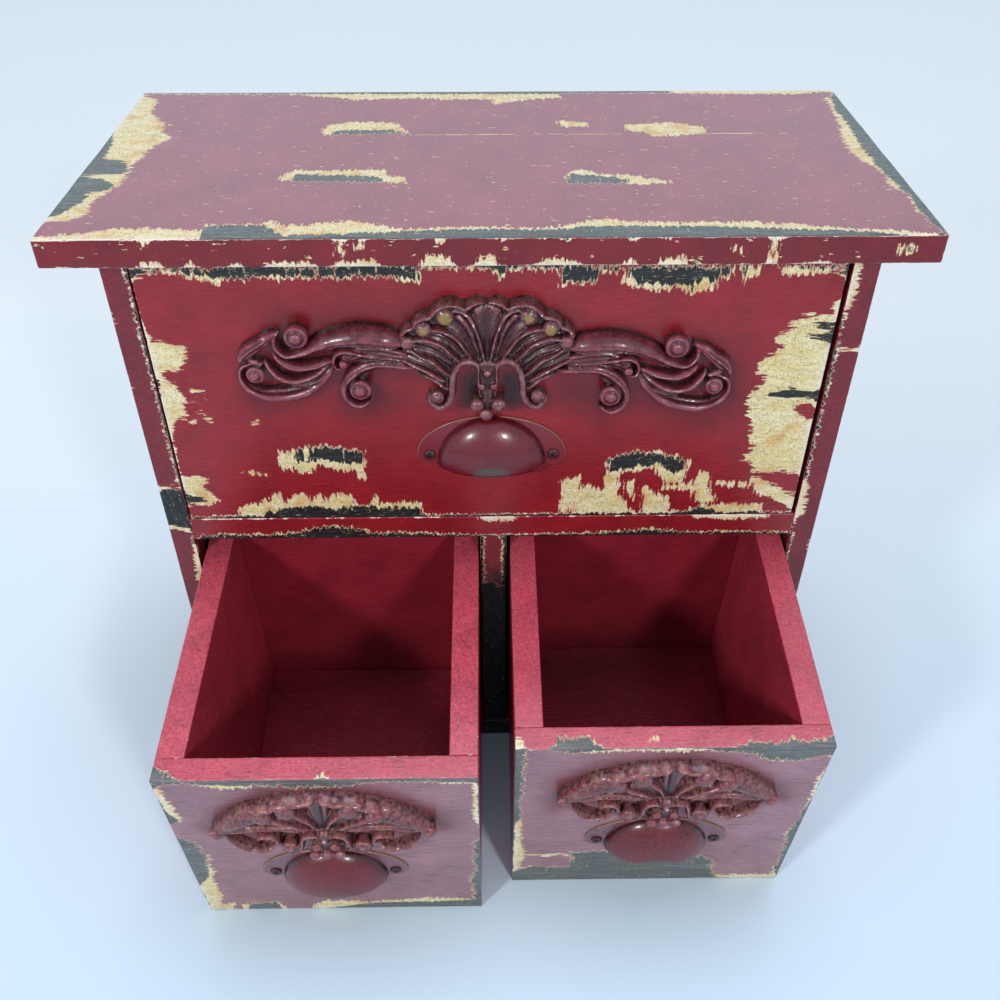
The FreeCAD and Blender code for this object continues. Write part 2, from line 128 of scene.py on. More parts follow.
floor = bpy.data.objects.new("floor", floor_mesh)
scene.collection.objects.link(floor)


def lamp(name, kind, place, aim, energy, size, tint="ffffff", glare_only=False):
    """A lamp at a place that points at its aim. A sun's size is its spread in degrees.
    A lamp for glare only is seen in glossy surfaces and doesn't light them."""
    data = bpy.data.lights.new(name, kind)
    data.energy = energy
    data.color = colour(tint)[:3]
    if kind == "SUN":
        data.angle = math.radians(size)
    else:
        data.shape = "RECTANGLE"
        data.size, data.size_y = size
    holder = bpy.data.objects.new(name, data)
    direction = Vector(aim) - Vector(place)
    holder.location = place
    holder.rotation_euler = direction.to_track_quat("-Z", "Y").to_euler()
    holder.visible_diffuse = not glare_only
    scene.collection.objects.link(holder)


lamp("overhead", "SUN", (0.1, 0.2, 1.5), (0, 0, 0), 1.62, 40, tint="e8f2ff")
lamp("left_softbox", "AREA", (-0.75, -1.00, 0.82), (0, 0, 0.2), 6.8, (0.14, 0.18))
lamp("right_softbox", "AREA", (0.46, -1.15, 0.82), (0, 0, 0.2), 6.0, (0.14, 0.18))
lamp("back_window", "AREA", (0.0, 1.70, 1.55), (0, 0, 0.25), 15.0, (2.4, 1.2), tint="e8f2ff",
     glare_only=True)


# Case boards: half-inch softwood, sawn square and nailed, with arrises worn round. Under the
# red satin coat lie a cream coat and a near-black one, which show where the paint has been
# rubbed and scraped off. Wear outlines are (across, up) on a board's side, in millimetres.

MM = 0.001
TOP_ROUNDING = 0.9
BOARD_ROUNDING = 0.55
ARRIS_WAVE_LENGTH = 23.0
ARRIS_WAVE = 0.35
FINE_STEP = 1.5
MIDDLE_STEP = 2.5
COARSE_STEP = 5.0
SOFT_EDGE = 3.0
DEEP_SOFT_EDGE = 13.0
COMB_BLEND = 8.0
PAINT_IOR = 1.45
CREAM = "e6d094"
PALE_CREAM = "efe0b4"
THIN_CREAM = "dca093"
ORANGE_CREAM = "dca556"
SCRATCHED_CREAM = "7b7750"
CHIP_WHITE = "efe4dc"
NEAR_BLACKS = ("16191b", "24292b", "2b2022")
SMOOTH = {"interpolation_type": "SMOOTHSTEP"}
TIMES, PLUS, TIMES_PLUS, LARGEST = [{"operation": operation} for operation in
                                    ("MULTIPLY", "ADD", "MULTIPLY_ADD", "MAXIMUM")]


def stations(low, high, rounding, step):
    """Places along one side of a board: close together over the rounding, then evenly spaced."""
    near = rounding * np.array([0.0, 0.35, 0.7, 1.0, 2.2])
    count = max(int((high - low - 2 * near[-1]) / step), 1) + 1
    middle = np.linspace(low + near[-1], high - near[-1], count)
    return np.concatenate([low + near[:-1], middle, (high - near[:-1])[::-1]])


def waviness(points, length, seed):
    """Slow smooth noise from -1 to 1: six sine waves in scattered directions, averaged."""
    rng = np.random.default_rng(seed)
    total = np.zeros(len(points))
    for direction, phase in zip(rng.normal(size=(6, 3)), rng.uniform(0, 2 * math.pi, 6)):
        total += np.sin(points @ direction * (2 * math.pi / length) / 1.7 + phase)
    return total / 6


def rounded_block(low, high, rounding, step, seed):
    """The skin of a block with worn, rounded arrises, as points, faces and facts of each point.

    The points are a lattice over the six sides. Each one is drawn to the block shrunk by the
    rounding, and pushed out from there again by the rounding, which swells and shrinks slowly
    along the board as a worn arris does. The arris fact is the distance to the nearest arris.
    """
    sides = [stations(low[axis], high[axis], rounding, step) for axis in range(3)]
    shape = [len(side) for side in sides]
    index = np.stack(np.meshgrid(*[np.arange(n) for n in shape], indexing="ij"), -1)
    skin = np.any((index == 0) | (index == np.array(shape) - 1), axis=-1)
    ids = np.full(shape, -1)
    ids[skin] = np.arange(skin.sum())
    flat = np.stack(np.meshgrid(*sides, indexing="ij"), -1)[skin]
    radius = rounding * (1 + ARRIS_WAVE * waviness(flat, ARRIS_WAVE_LENGTH, seed))[:, None]
    heart = np.clip(flat, np.array(low) + radius, np.array(high) - radius)
    outward = flat - heart
    outward /= np.linalg.norm(outward, axis=1)[:, None]
    depth = np.sort(np.minimum(flat - np.array(low), np.array(high) - flat), axis=1)
    faces = []
    for axis in range(3):
        for end in (0, -1):
            grid = np.take(ids, end, axis=axis)
            quads = np.stack([grid[:-1, :-1], grid[1:, :-1], grid[1:, 1:], grid[:-1, 1:]], -1)
            turned = (end == 0) != (axis == 1)
            faces.append(quads.reshape(-1, 4)[:, ::-1] if turned else quads.reshape(-1, 4))
    return heart + outward * radius, np.concatenate(faces), outward, depth[:, 1]


def leaned(points, tilt, sign=1):
    """Points turned about the X axis by the tilt, front edge down, or back again with sign -1."""
    c, s = math.cos(tilt), math.sin(tilt) * sign
    turn = np.array([[1, 0, 0], [0, c, -s], [0, s, c]])
    return points @ turn.T


def square_box(piece, tilt=0.0):
    """Lowest and highest corner of a CAD node in millimetres, along its own drawer's directions."""
    data = frame["nodes"][piece].data
    co = np.zeros(len(data.vertices) * 3)
    data.vertices.foreach_get("co", co)
    co = leaned(co.reshape(-1, 3) / MM, tilt, -1)
    return co.min(0), co.max(0)


def in_place_of(piece, body, name, points, faces, material, facts):
    """The finished piece for a CAD node, from points in millimetres, with facts of its points
    as attributes. It rides on the node's body, and wears the given material."""
    mesh = bpy.data.meshes.new(name)
    faces = faces if isinstance(faces, list) else faces.tolist()
    mesh.from_pydata((points * MM).tolist(), [], faces)
    mesh.shade_smooth()
    for fact, values in facts.items():
        kind, field = ("FLOAT_VECTOR", "vector") if values.ndim == 2 else ("FLOAT", "value")
        attribute = mesh.attributes.new(fact, kind, "POINT")
        attribute.data.foreach_set(field, values.astype(np.float32).ravel())
    mesh.materials.append(material)
    made = bpy.data.objects.new(name, mesh)
    scene.collection.objects.link(made)
    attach(made, body)
    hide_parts(piece)


def inside_outlines(across, up, outlines, soft):
    """How deep each place lies inside the nearest outline: 0.5 on it, 1 from soft within it.

    The distance to an outline is that to its nearest side, a place is inside where a line
    to its left crosses an odd number of sides, and the value is 0.5 plus the distance inward
    over twice the softness.
    """
    field = np.zeros(len(across))
    for outline in outlines:
        near = np.full(len(across), np.inf)
        within = np.zeros(len(across), bool)
        for (x0, y0), (x1, y1) in zip(outline, outline[1:] + outline[:1]):
            run_x, run_y = x1 - x0, y1 - y0
            share = ((across - x0) * run_x + (up - y0) * run_y) / (run_x ** 2 + run_y ** 2 + 1e-9)
            share = np.clip(share, 0, 1)
            near = np.minimum(near, np.hypot(across - x0 - share * run_x, up - y0 - share * run_y))
            if y0 != y1:
                within ^= ((y0 > up) != (y1 > up)) & (across > x0 + (up - y0) * run_x / run_y)
        distance = np.where(within, near, -near)
        field = np.maximum(field, np.clip(0.5 + distance / (2 * soft), 0, 1))
    return field


def cloud(node, vector, shift, scale, detail, roughness=0.5):
    """A cloudy pattern with a scale per millimetre, shifted clear of the other patterns.

    The scale is one over the pattern's size. The sizes were set and not measured.
    """
    moved = node("VectorMath", (vector, (shift, shift, shift)), **PLUS)
    return node("TexNoise", {"Vector": moved, "Scale": scale, "Detail": detail,
                             "Roughness": roughness})


def laid_over(node, tone, tint, where, low, high, strength=1.0):
    """A tone with a tint over it, by the strength, where a value has passed from low to high."""
    share = node("MapRange", (where, low, high, 0.0, strength), **SMOOTH)
    return node("Mix", {0: share, 6: tone, 7: colour(tint)}, **COLOURS)


def chipped_paint(name, red, upper_red=None, grain=(0.2, 1.0, 1.0), arris_wear=0.42, flecks=0.25,
                  gloss=0.27, under=NEAR_BLACKS, thin_cream=0.0, cracks=0.0, speckle=0.55,
                  scuffs=0.0, seam=None):
    """Three coats of brushed paint over wood, the upper ones chipped through.

    A coat is gone where its worn field, plus the wear near an arris, plus the noise of the
    scraper's teeth, passes one half. The teeth run towards the nearest edge of the board, up and
    down by the share comb and across by the rest. The coats are real steps in the bump. The sides
    that look up have their own red, lighter partly as painted light from above. Near-black paint
    over the patches behind a casting is painted shadow. A seam is a fine crack along the board at
    a level. Cracks is the strength of short dark splits along the grain, speckle that of dark
    specks on top, and scuffs how far the arrises of a plain side are worn in broad patches. Brush
    marks are 0.5 mm wide, pores 0.4 mm and the scraper's teeth 1.3 mm.
    """
    material, node = new_material(name)
    place = node("Attribute", output="Vector", attribute_name="place")
    worn, bare, deep, grime, arris, upward, comb = [
        node("Attribute", output="Fac", attribute_name=fact)
        for fact in ("worn", "bare", "deep", "grime", "arris", "upward", "comb")]
    along, across, updown, lengthwise = [
        node("VectorMath", (place, squeeze), **TIMES)
        for squeeze in (grain, (0.22, 1.0, 1.0), (1.0, 0.22, 0.22), (0.06, 1.0, 1.0))]
    stroke = node("VectorMath", (along, (0.2, 1.0, 1.0)), **TIMES)

    # Where the red coat and the cream coat are gone
    teeth, bare_teeth = [
        node("Mix", {0: comb, 2: cloud(node, across, shift, scale, 4.0, roughness),
                     3: cloud(node, updown, shift + 2.0, scale, 4.0, roughness)})
        for shift, scale, roughness in ((31.0, 0.75, 0.65), (5.0, 0.6, 0.6))]
    slow = cloud(node, place, 0.0, 0.075, 2.0, 0.55)
    ragged = node("Math", (teeth, 2.1, node("Math", (slow, 0.5, -1.30), **TIMES_PLUS)), **TIMES_PLUS)
    near = node("Math", (2.718, node("Math", (arris, -0.8), **TIMES)), operation="POWER")
    crumbs = cloud(node, place, 11.0, 0.22, 5.0, 0.65)
    edge = node("Math", (near, node("Math", (crumbs, 2.4, arris_wear - 1.1), **TIMES_PLUS)), **TIMES)
    inside = node("MapRange", (worn, 0.02, 0.35), **SMOOTH)
    red_gone = node("Math", (node("Math", (ragged, inside, worn), **TIMES_PLUS), edge), **PLUS)
    clusters = node("MapRange", (cloud(node, along, 57.0, 0.55, 2.0),
                                 1.0 - flecks * 0.72, 1.02 - flecks * 0.7), **SMOOTH)
    fleck = node("MapRange", (cloud(node, along, 83.0, 1.9, 1.0), 0.50, 0.56), **SMOOTH)
    red_gone = node("Math", (red_gone, node("Math", (clusters, fleck), **TIMES)), **LARGEST)
    if seam:
        level, start, end = seam
        run, rise = [node("SeparateXYZ", (place,), axis) for axis in "XY"]
        wander = cloud(node, stroke, 0.0, 0.3, 2.0, 0.55)
        wander = node("Math", (wander, 3.0, -1.5 - level), **TIMES_PLUS)
        line = node("Math", (node("Math", (rise, wander), **PLUS),), operation="ABSOLUTE")
        line = node("MapRange", (line, 0.55, 0.15), **SMOOTH)
        for value, low, high in ((run, start, start + 30.0), (run, end, end - 8.0),
                                 (cloud(node, along, 61.0, 0.5, 3.0, 0.6), 0.42, 0.5)):
            shown = node("MapRange", (value, low, high), **SMOOTH)
            line = node("Math", (line, shown), **TIMES)
        red_gone = node("Math", (red_gone, line), **LARGEST)
    if scuffs:
        not_far = node("Math", (2.718, node("Math", (arris, -0.05), **TIMES)), operation="POWER")
        patches = cloud(node, place, 21.0, 0.03, 5.0, 0.6)
        patches = node("Math", (node("Math", (not_far, patches), **TIMES), scuffs, -0.2), **TIMES_PLUS)
        patches = node("Math", (teeth, 0.35, patches), **TIMES_PLUS)
        red_gone = node("Math", (red_gone, patches), **LARGEST)
    no_red = node("MapRange", (red_gone, 0.47, 0.53), **SMOOTH)
    cream_gone = node("Math", (node("Math", (bare_teeth, 1.6, -0.80), **TIMES_PLUS),
                               node("MapRange", (bare, 0.02, 0.35), **SMOOTH)), **TIMES)
    cream_gone = node("Math", (node("Math", (bare, cream_gone), **PLUS),
                               node("Math", (edge, 0.5, thin_cream), **TIMES_PLUS)), **PLUS)
    no_cream = node("Math", (node("MapRange", (cream_gone, 0.46, 0.54), **SMOOTH),
                             node("MapRange", (red_gone, 0.56, 0.68), **SMOOTH)), **TIMES)

    # The red coat: slow mottle, brush strokes, pores, and a darker, glossier red in the deep outlines
    # round the castings
    mottle = cloud(node, place, 3.0, 0.045, 4.0, 0.6)
    brush = cloud(node, stroke, 71.0, 2.0, 4.0, 0.7)
    pores = cloud(node, along, 23.0, 2.6, 3.0, 0.7)
    # Upward faces take a lighter red: partly their own finish, partly painted light from above.
    red_coat = laid_over(node, colour(red), upper_red or red, upward, 0.5, 0.85)
    red_coat = laid_over(node, red_coat, "620c14", deep, 0.0, 0.7, 0.85)
    # Painted shadow: near black over the patches behind a casting.
    red_coat = node("Mix", {0: node("Math", (grime, 0.92), **TIMES), 6: red_coat,
                            7: colour("160507")}, **COLOURS)
    shade = node("Math", (mottle, 0.9, node("Math", (brush, 0.8, 0.16), **TIMES_PLUS)), **TIMES_PLUS)
    red_coat = node("Mix", {0: 1.0, 6: red_coat, 7: shade}, blend_type="MULTIPLY", **COLOURS)
    on_top = node("MapRange", (upward, 0.5, 0.85), **SMOOTH)
    pocked, specked, dusted = [node("Math", (on_top, share, base), **TIMES_PLUS)
                               for share, base in ((0.3, 0.45), (speckle, 0.0), (0.45, 0.0))]
    specks = cloud(node, place, 47.0, 1.0, 3.0, 0.7)
    dust = cloud(node, along, 49.0, 2.2, 3.0, 0.7)
    split = node("Math", (cloud(node, lengthwise, 17.0, 0.42, 3.0, 0.6), -0.5), **PLUS)
    split = node("Math", (split,), operation="ABSOLUTE")
    cracked = cloud(node, place, 27.0, 0.09, 2.0)
    cracked = node("MapRange", (cracked, 0.50, 0.58, 0.0, cracks), **SMOOTH)
    for tint, where, low, high, strength in (
            ("46101a", pores, 0.43, 0.30, pocked), ("d58c90", pores, 0.62, 0.74, 0.3),
            ("7c2230", specks, 0.50, 0.40, specked), ("cfa0a8", dust, 0.60, 0.68, dusted),
            ("24060a", split, 0.010, 0.003, cracked)):
        red_coat = laid_over(node, red_coat, tint, where, low, high, strength)

    # The cream coat: patchy yellow, rubbed orange and scratched dark; pale chips at the arrises
    patchy = cloud(node, along, 19.0, 0.35, 4.0, 0.6)
    cream = laid_over(node, colour(CREAM), PALE_CREAM, patchy, 0.42, 0.62)
    cream = laid_over(node, cream, ORANGE_CREAM, cloud(node, place, 43.0, 0.10, 2.0), 0.54, 0.68, 0.7)
    hatching = node("Math", (cloud(node, across, 91.0, 2.6, 2.0, 0.6),
                             cloud(node, updown, 93.0, 2.6, 2.0, 0.6)), **LARGEST)
    cream = laid_over(node, cream, SCRATCHED_CREAM, hatching, 0.55, 0.66, 0.7)
    cream = node("Mix", {0: node("Math", (near, 0.8), **TIMES), 6: cream, 7: colour(CHIP_WHITE)},
                 **COLOURS)
    cream = laid_over(node, cream, THIN_CREAM, red_gone, 0.62, 0.50)

    # The near-black coat, streaked along the brush, with crumbs of cream left on it
    dark = colour(under[0])
    for tint, where, low, high, strength in (
            (under[1], cloud(node, stroke, 37.0, 1.5, 3.0, 0.6), 0.42, 0.62, 1.0),
            (under[2], cloud(node, place, 39.0, 0.5, 4.0, 0.65), 0.50, 0.66, 1.0),
            ("b3a583", cloud(node, along, 97.0, 1.8, 2.0, 0.6), 0.63, 0.70, 0.7)):
        dark = laid_over(node, dark, tint, where, low, high, strength)
    shown = node("Mix", {0: no_cream, 6: cream, 7: dark}, **COLOURS)
    shown = node("Mix", {0: no_red, 6: red_coat, 7: shown}, **COLOURS)

    level = node("Math", (no_cream, -0.4), **TIMES)
    for part, weight in ((no_red, -0.55), (brush, 0.30), (pores, 0.16)):
        level = node("Math", (part, weight, level), **TIMES_PLUS)
    rough = gloss - 0.11
    for part, weight in ((brush, 0.22), (no_red, 0.16), (deep, -0.08)):
        rough = node("Math", (part, weight, rough), **TIMES_PLUS)
    bump = node("Bump", {"Height": level, "Strength": 0.65, "Distance": 0.0003})
    shader = node("BsdfPrincipled", {"Base Color": shown, "Roughness": rough, "IOR": PAINT_IOR,
                                     "Normal": bump})
    node("OutputMaterial", (shader,))
    return material


def board(piece, body, material, tilt=0.0, step=COARSE_STEP, rounding=BOARD_ROUNDING, seed=1,
          wear=None):
    """A worn board in place of a node. Wear gives, for its front or top, the outlines where the
    red is gone (worn), where the cream is gone too (bare), where the red is darker and glossier
    (deep), and where near-black painted shadow lies behind a casting. Comb is 1 nearest to the
    edges that run across, and 0 nearest to the other two."""
    low, high = square_box(piece, tilt)
    points, faces, outward, arris = rounded_block(low, high, rounding, step, seed)
    local = points - np.array([(low[0] + high[0]) / 2, low[1], low[2]])
    facts = {"place": local, "arris": arris, "upward": outward[:, 2],
             **{fact: np.zeros(len(local)) for fact in ("worn", "bare", "deep", "grime")}}
    to_side = (high[0] - low[0]) / 2 - np.abs(local[:, 0])
    rise = np.where(outward[:, 2] > 0.7, local[:, 1], local[:, 2])
    tall = np.where(outward[:, 2] > 0.7, high[1] - low[1], high[2] - low[2])
    facts["comb"] = np.clip((to_side - np.minimum(rise, tall - rise)) / COMB_BLEND + 0.5, 0, 1)
    for side, outlines in (wear or {}).items():
        facing = -outward[:, 1] if side == "front" else outward[:, 2]
        up = local[:, 2] if side == "front" else local[:, 1]
        on_side = np.clip((facing - 0.5) * 4, 0, 1)
        for fact, lines in outlines.items():
            soft = DEEP_SOFT_EDGE if fact == "deep" else SOFT_EDGE
            field = inside_outlines(local[:, 0], up, lines, soft) * on_side
            facts[fact] = np.maximum(facts[fact], field)
    in_place_of(piece, body, "worn_" + piece, leaned(points, tilt), faces, material, facts)


TOP_WORN = [
    [(-185, 173.5), (-165, 159.5), (-163.5, 139), (-153, 124), (-152.5, 114.5), (-145, 105.5),
     (-151, 98.5), (-153, 85.5), (-154.5, 75.5), (-155, 65.5), (-155, 50), (-158, 44.5), (-161, 37),
     (-160, 21.5), (-165.5, 16.5), (-180.5, 18.5), (-183.5, 12), (-187.5, -6.5), (-192, 12),
     (-188, 173.5)],
    [(-179, 2), (-156.5, 5.5), (-144, 9.5), (-132, 10), (-112, 8), (-110.5, 13), (-90, 13.5), (-86, 16),
     (-80, 12.5), (-70.5, 12.5), (-58, 15.5), (-52.5, 15.5), (-34, 7.5), (-10.5, 10), (26.5, 8),
     (25.5, -13.5), (-182, -11)],
    [(-78, 116), (-75.5, 123), (-63, 126.5), (-44.5, 125), (-40.5, 118), (-36, 110), (-76.5, 109.5)],
    [(-90, 58.5), (-83.5, 68.5), (-77.5, 66.5), (-45.5, 68), (-43.5, 61), (-36.5, 58), (-36, 52.5),
     (-42.5, 53), (-84, 55), (-89.5, 56)],
    [(-102, 178.5), (-100, 166), (-66, 158.5), (-13, 160.5), (12, 156), (35, 160), (36, 177)],
    [(-186, 179), (-181, 168), (-100.5, 167), (-102, 178.5)],
    [(-20, 8.5), (7.5, 7), (25.5, 9.5), (40, 15.5), (63.5, 13.5), (94, 12.5), (98.5, 13.5),
     (118.5, 10.5), (132, 7.5), (145, 5.5), (171.5, 1.5), (181.5, -15.5), (-19.5, -13)],
    [(166.5, 156), (168, 148), (164.5, 120.5), (160, 95), (161.5, 78), (164.5, 71.5), (167, 59.5),
     (166.5, 46), (171, 39), (169, 24.5), (170.5, 11), (179, -7.5), (187, -7.5), (188, 175.5),
     (179, 169.5)], [(32, 128.5), (46.5, 123), (46.5, 118.5), (32.5, 118.5)],
    [(64, 121.5), (84.5, 124), (101.5, 119), (100.5, 108.5), (75.5, 106), (69.5, 112), (63.5, 113.5)],
    [(31, 51.5), (33.5, 64.5), (39.5, 67), (45.5, 62), (57.5, 60.5), (64.5, 58), (74.5, 54), (76, 51),
     (56, 50.5)],
    [(-25.5, 177.5), (-25, 158), (2, 158), (2, 151), (28.5, 160.5), (32.5, 167), (90.5, 166),
     (151.5, 163.5), (172, 167), (180.5, 175.5)],
]
TOP_BARE = [
    [(-189.5, 179.5), (-180, 170.5), (-180, 160), (-180, 146.5), (-179, 124), (-172, 99),
     (-170.5, 81.5), (-158.5, 76.5), (-156, 65.5), (-180.5, 63), (-187.5, 63)],
    [(-188, 60), (-164.5, 59), (-157.5, 52.5), (-159, 48), (-165.5, 44.5), (-165.5, 37.5),
     (-168.5, 30.5), (-172, 23.5), (-181, 18), (-185.5, 5.5), (-192, 12)],
    [(-109, -12), (-111, 11), (-102, 12), (-88, 11.5), (-80, 2), (-34, 5), (-10.5, 7), (26, 5.5),
     (25.5, -13.5)], [(-74, 109), (-70.5, 115), (-45.5, 115), (-36.5, 108)],
    [(-84.5, 53.5), (-82, 62.5), (-49.5, 60), (-45, 54)],
    [(-186, 179), (-182, 169), (35.5, 167), (36, 177)],
    [(-20, 6), (25.5, 6.5), (42, 9), (63, 8.5), (93, 7.5), (117.5, 5.5), (144, 2.5), (180, -7.5),
     (181.5, -15.5), (-19.5, -13)],
    [(182.5, 175.5), (171, 158.5), (169.5, 143), (169.5, 118), (168, 95), (168, 71.5), (170, 50),
     (171.5, 31.5), (171.5, 14.5), (172, -6), (187, -7.5), (188, 175.5)],
    [(31, 51), (33.5, 61.5), (45, 59), (57, 56), (56.5, 49.5)],
    [(-25.5, 177.5), (-25, 167), (90.5, 166.5), (92, 176.5)],
]
TOP_EDGE_WORN = [
    [(-137, -4), (-127, -4), (-129, 2), (-136, 1)], [(-120, -4), (-114, -4), (-116, 2)],
    [(-103, -4), (-97, -4), (-98, 2)], [(-88, -4), (-68, -4), (-70, 2), (-76, 1.5), (-84, 2.5)],
    [(-62, -4), (-43, -4), (-46, 2.5), (-53, 2), (-59, 3)],
    [(-29, -4), (-15, -4), (-16, 4), (-25, 5.5)], [(-7, -4), (2, -4), (1, 5), (-5, 4)],
    [(16, -4), (34, -4), (32, 2), (20, 2.5)], [(44, -4), (55, -4), (54, 2)],
    [(64, -4), (75, -4), (74, 4), (66, 3)], [(110, -4), (133, -4), (130, 1)],
    [(-134, 17), (-130, 17), (-132, 9)], [(-62, 17), (-58, 17), (-59, 11)],
    [(-60, 5), (-57, 5), (-57, 10), (-60, 9)], [(-52.5, 8), (-49.5, 8), (-50, 11)],
    [(-23, 17), (-18, 17), (-20, 10)], [(-1, 17), (6, 17), (4, 11.5)], [(24, 17), (32, 17), (29, 11)],
    [(50, 17), (57, 17), (54, 11)], [(59, 17), (70, 17), (67, 11.5)],
    [(104, 17), (113, 17), (109.5, 11), (109.3, 1), (107, 1), (107, 11)],
    [(91, 5), (97, 5.5), (96, 8), (92, 7)], [(157, 4.5), (163, 5.5), (162, 8), (157, 7.5)],
]
TOP_EDGE_BARE = [
    [(24, 17), (32, 17), (29, 12)], [(50, 17), (57, 17), (54, 12)], [(158, 5.5), (162, 6), (161, 7.3)],
]

top_paint = chipped_paint("brushed_red_on_top_board", "741a22", "8a3c4c", grain=(0.3, 1.0, 1.0),
                          arris_wear=0.46, flecks=0.47, gloss=0.32, thin_cream=0.12, speckle=0.12,
                          under=("37423f", "5c6866", "4a4648"), seam=(109.0, -80.0, 142.0))
board("top_board", "case", top_paint, step=FINE_STEP, rounding=TOP_ROUNDING, seed=2,
      wear={"top": {"worn": TOP_WORN, "bare": TOP_BARE},
            "front": {"worn": TOP_EDGE_WORN, "bare": TOP_EDGE_BARE}})

LEFT_PANEL = {
    "worn": [
        [(4.9, -5), (12, -5), (12, 315), (4.9, 315)],
        [(-12, 163), (8, 160), (8, 186), (0, 190), (-12, 183)],
        [(2.4, 128), (8, 128), (8, 150), (3.4, 146)],
    ],
    "bare": [
        [(4.9, -5), (12, -5), (12, 126), (4.9, 126)], [(4.9, 152), (12, 152), (12, 315), (4.9, 315)],
        [(-12, 165), (8, 162), (8, 184), (0, 188), (-12, 181)],
    ],
}
RIGHT_PANEL = {
    "worn": [
        [(-12, -5), (-4.6, -5), (-4.6, 315), (-12, 315)],
        [(-12, 259.5), (12, 260.5), (12, 261.5), (-12, 260.5)],
        [(-12, 282), (-2, 284), (-3, 300), (-12, 304)],
        [(-8, 165), (-1.5, 168), (-2.5, 186), (-8, 188)],
    ],
    "bare": [
        [(-12, -5), (-4.6, -5), (-4.6, 164), (-12, 164)],
        [(-12, 190), (-4.6, 190), (-4.6, 280), (-12, 280)],
    ],
}
SHELF_EDGE = {
    "worn": [
        [(-145, -8), (145, -8), (145, 1.6), (96, 2.4), (78, 4.6), (68, 4.0), (50, 1.8), (0, 0.8),
         (-30, 2.4), (-60, 3.8), (-68, 7.6), (-84, 8.0), (-98, 4.2), (-118, 2.4), (-145, 3.2)],
        [(-6, 10.6), (10, 10.8), (10, 20), (-6, 20)], [(98, 11), (134, 10.6), (134, 20), (98, 20)],
    ],
    "bare": [
        [(-145, -8), (145, -8), (145, 1.4), (96, 2.2), (78, 4.4), (68, 3.8), (50, 1.6), (0, 0.6),
         (-30, 2.2), (-60, 3.6), (-68, 7.4), (-84, 7.8), (-98, 4), (-118, 2.2), (-145, 3.0)],
    ],
}
BOTTOM_EDGE = {
    "worn": [
        [(-160, -9), (160, -9), (160, 22), (-160, 22)],
    ],
    "bare": [
        [(-160, -9), (160, -9), (160, 20), (-160, 20)],
    ],
}
# Painted shadow: the divider's whole front is stripped to its near-black under coat, for the shade
# between the small drawers.
DIVIDER_EDGE = {
    "worn": [
        [(-12, -9), (12, -9), (12, 106), (0, 113), (-12, 110)],
        [(-12, 100), (-4.9, 100), (-4.9, 150), (-12, 150)],
        [(4.9, 100), (12, 100), (12, 150), (4.9, 150)],
    ],
    "bare": [
        [(-12, -9), (12, -9), (12, 106), (0, 113), (-12, 110)],
        [(-12, 95), (-4.9, 95), (-4.9, 150), (-12, 150)], [(4.9, 95), (12, 95), (12, 150), (4.9, 150)],
    ],
}

panel_paint = chipped_paint("brushed_red_on_side_panels", "741e27", grain=(1.0, 1.0, 0.2),
                            arris_wear=0.22, scuffs=0.88)
outer_paint = chipped_paint("brushed_red_on_back", "7c222c", arris_wear=0.36, scuffs=0.95)
inner_paint = chipped_paint("brushed_red_on_inner_boards", "8a1a22", "a03040", arris_wear=0.36)
# The divider's under coats are darker than the others' as painted shadow.
divider_paint_with_shadow = chipped_paint("brushed_red_on_divider", "7a1a22", grain=(1.0, 1.0, 0.2),
                              under=("0c0d0e", "141617", "1d1214"))
board("left_side_panel", "case", panel_paint, step=MIDDLE_STEP, seed=3, wear={"front": LEFT_PANEL})
board("right_side_panel", "case", panel_paint, step=MIDDLE_STEP, seed=4, wear={"front": RIGHT_PANEL})
board("shelf", "case", inner_paint, step=MIDDLE_STEP, seed=6, wear={"front": SHELF_EDGE})
board("bottom_board", "case", inner_paint, seed=5, wear={"front": BOTTOM_EDGE})
board("back_panel", "case", outer_paint, step=MIDDLE_STEP, seed=8)
board("centre_divider", "case", divider_paint_with_shadow, step=MIDDLE_STEP, seed=7, wear={"front": DIVIDER_EDGE})
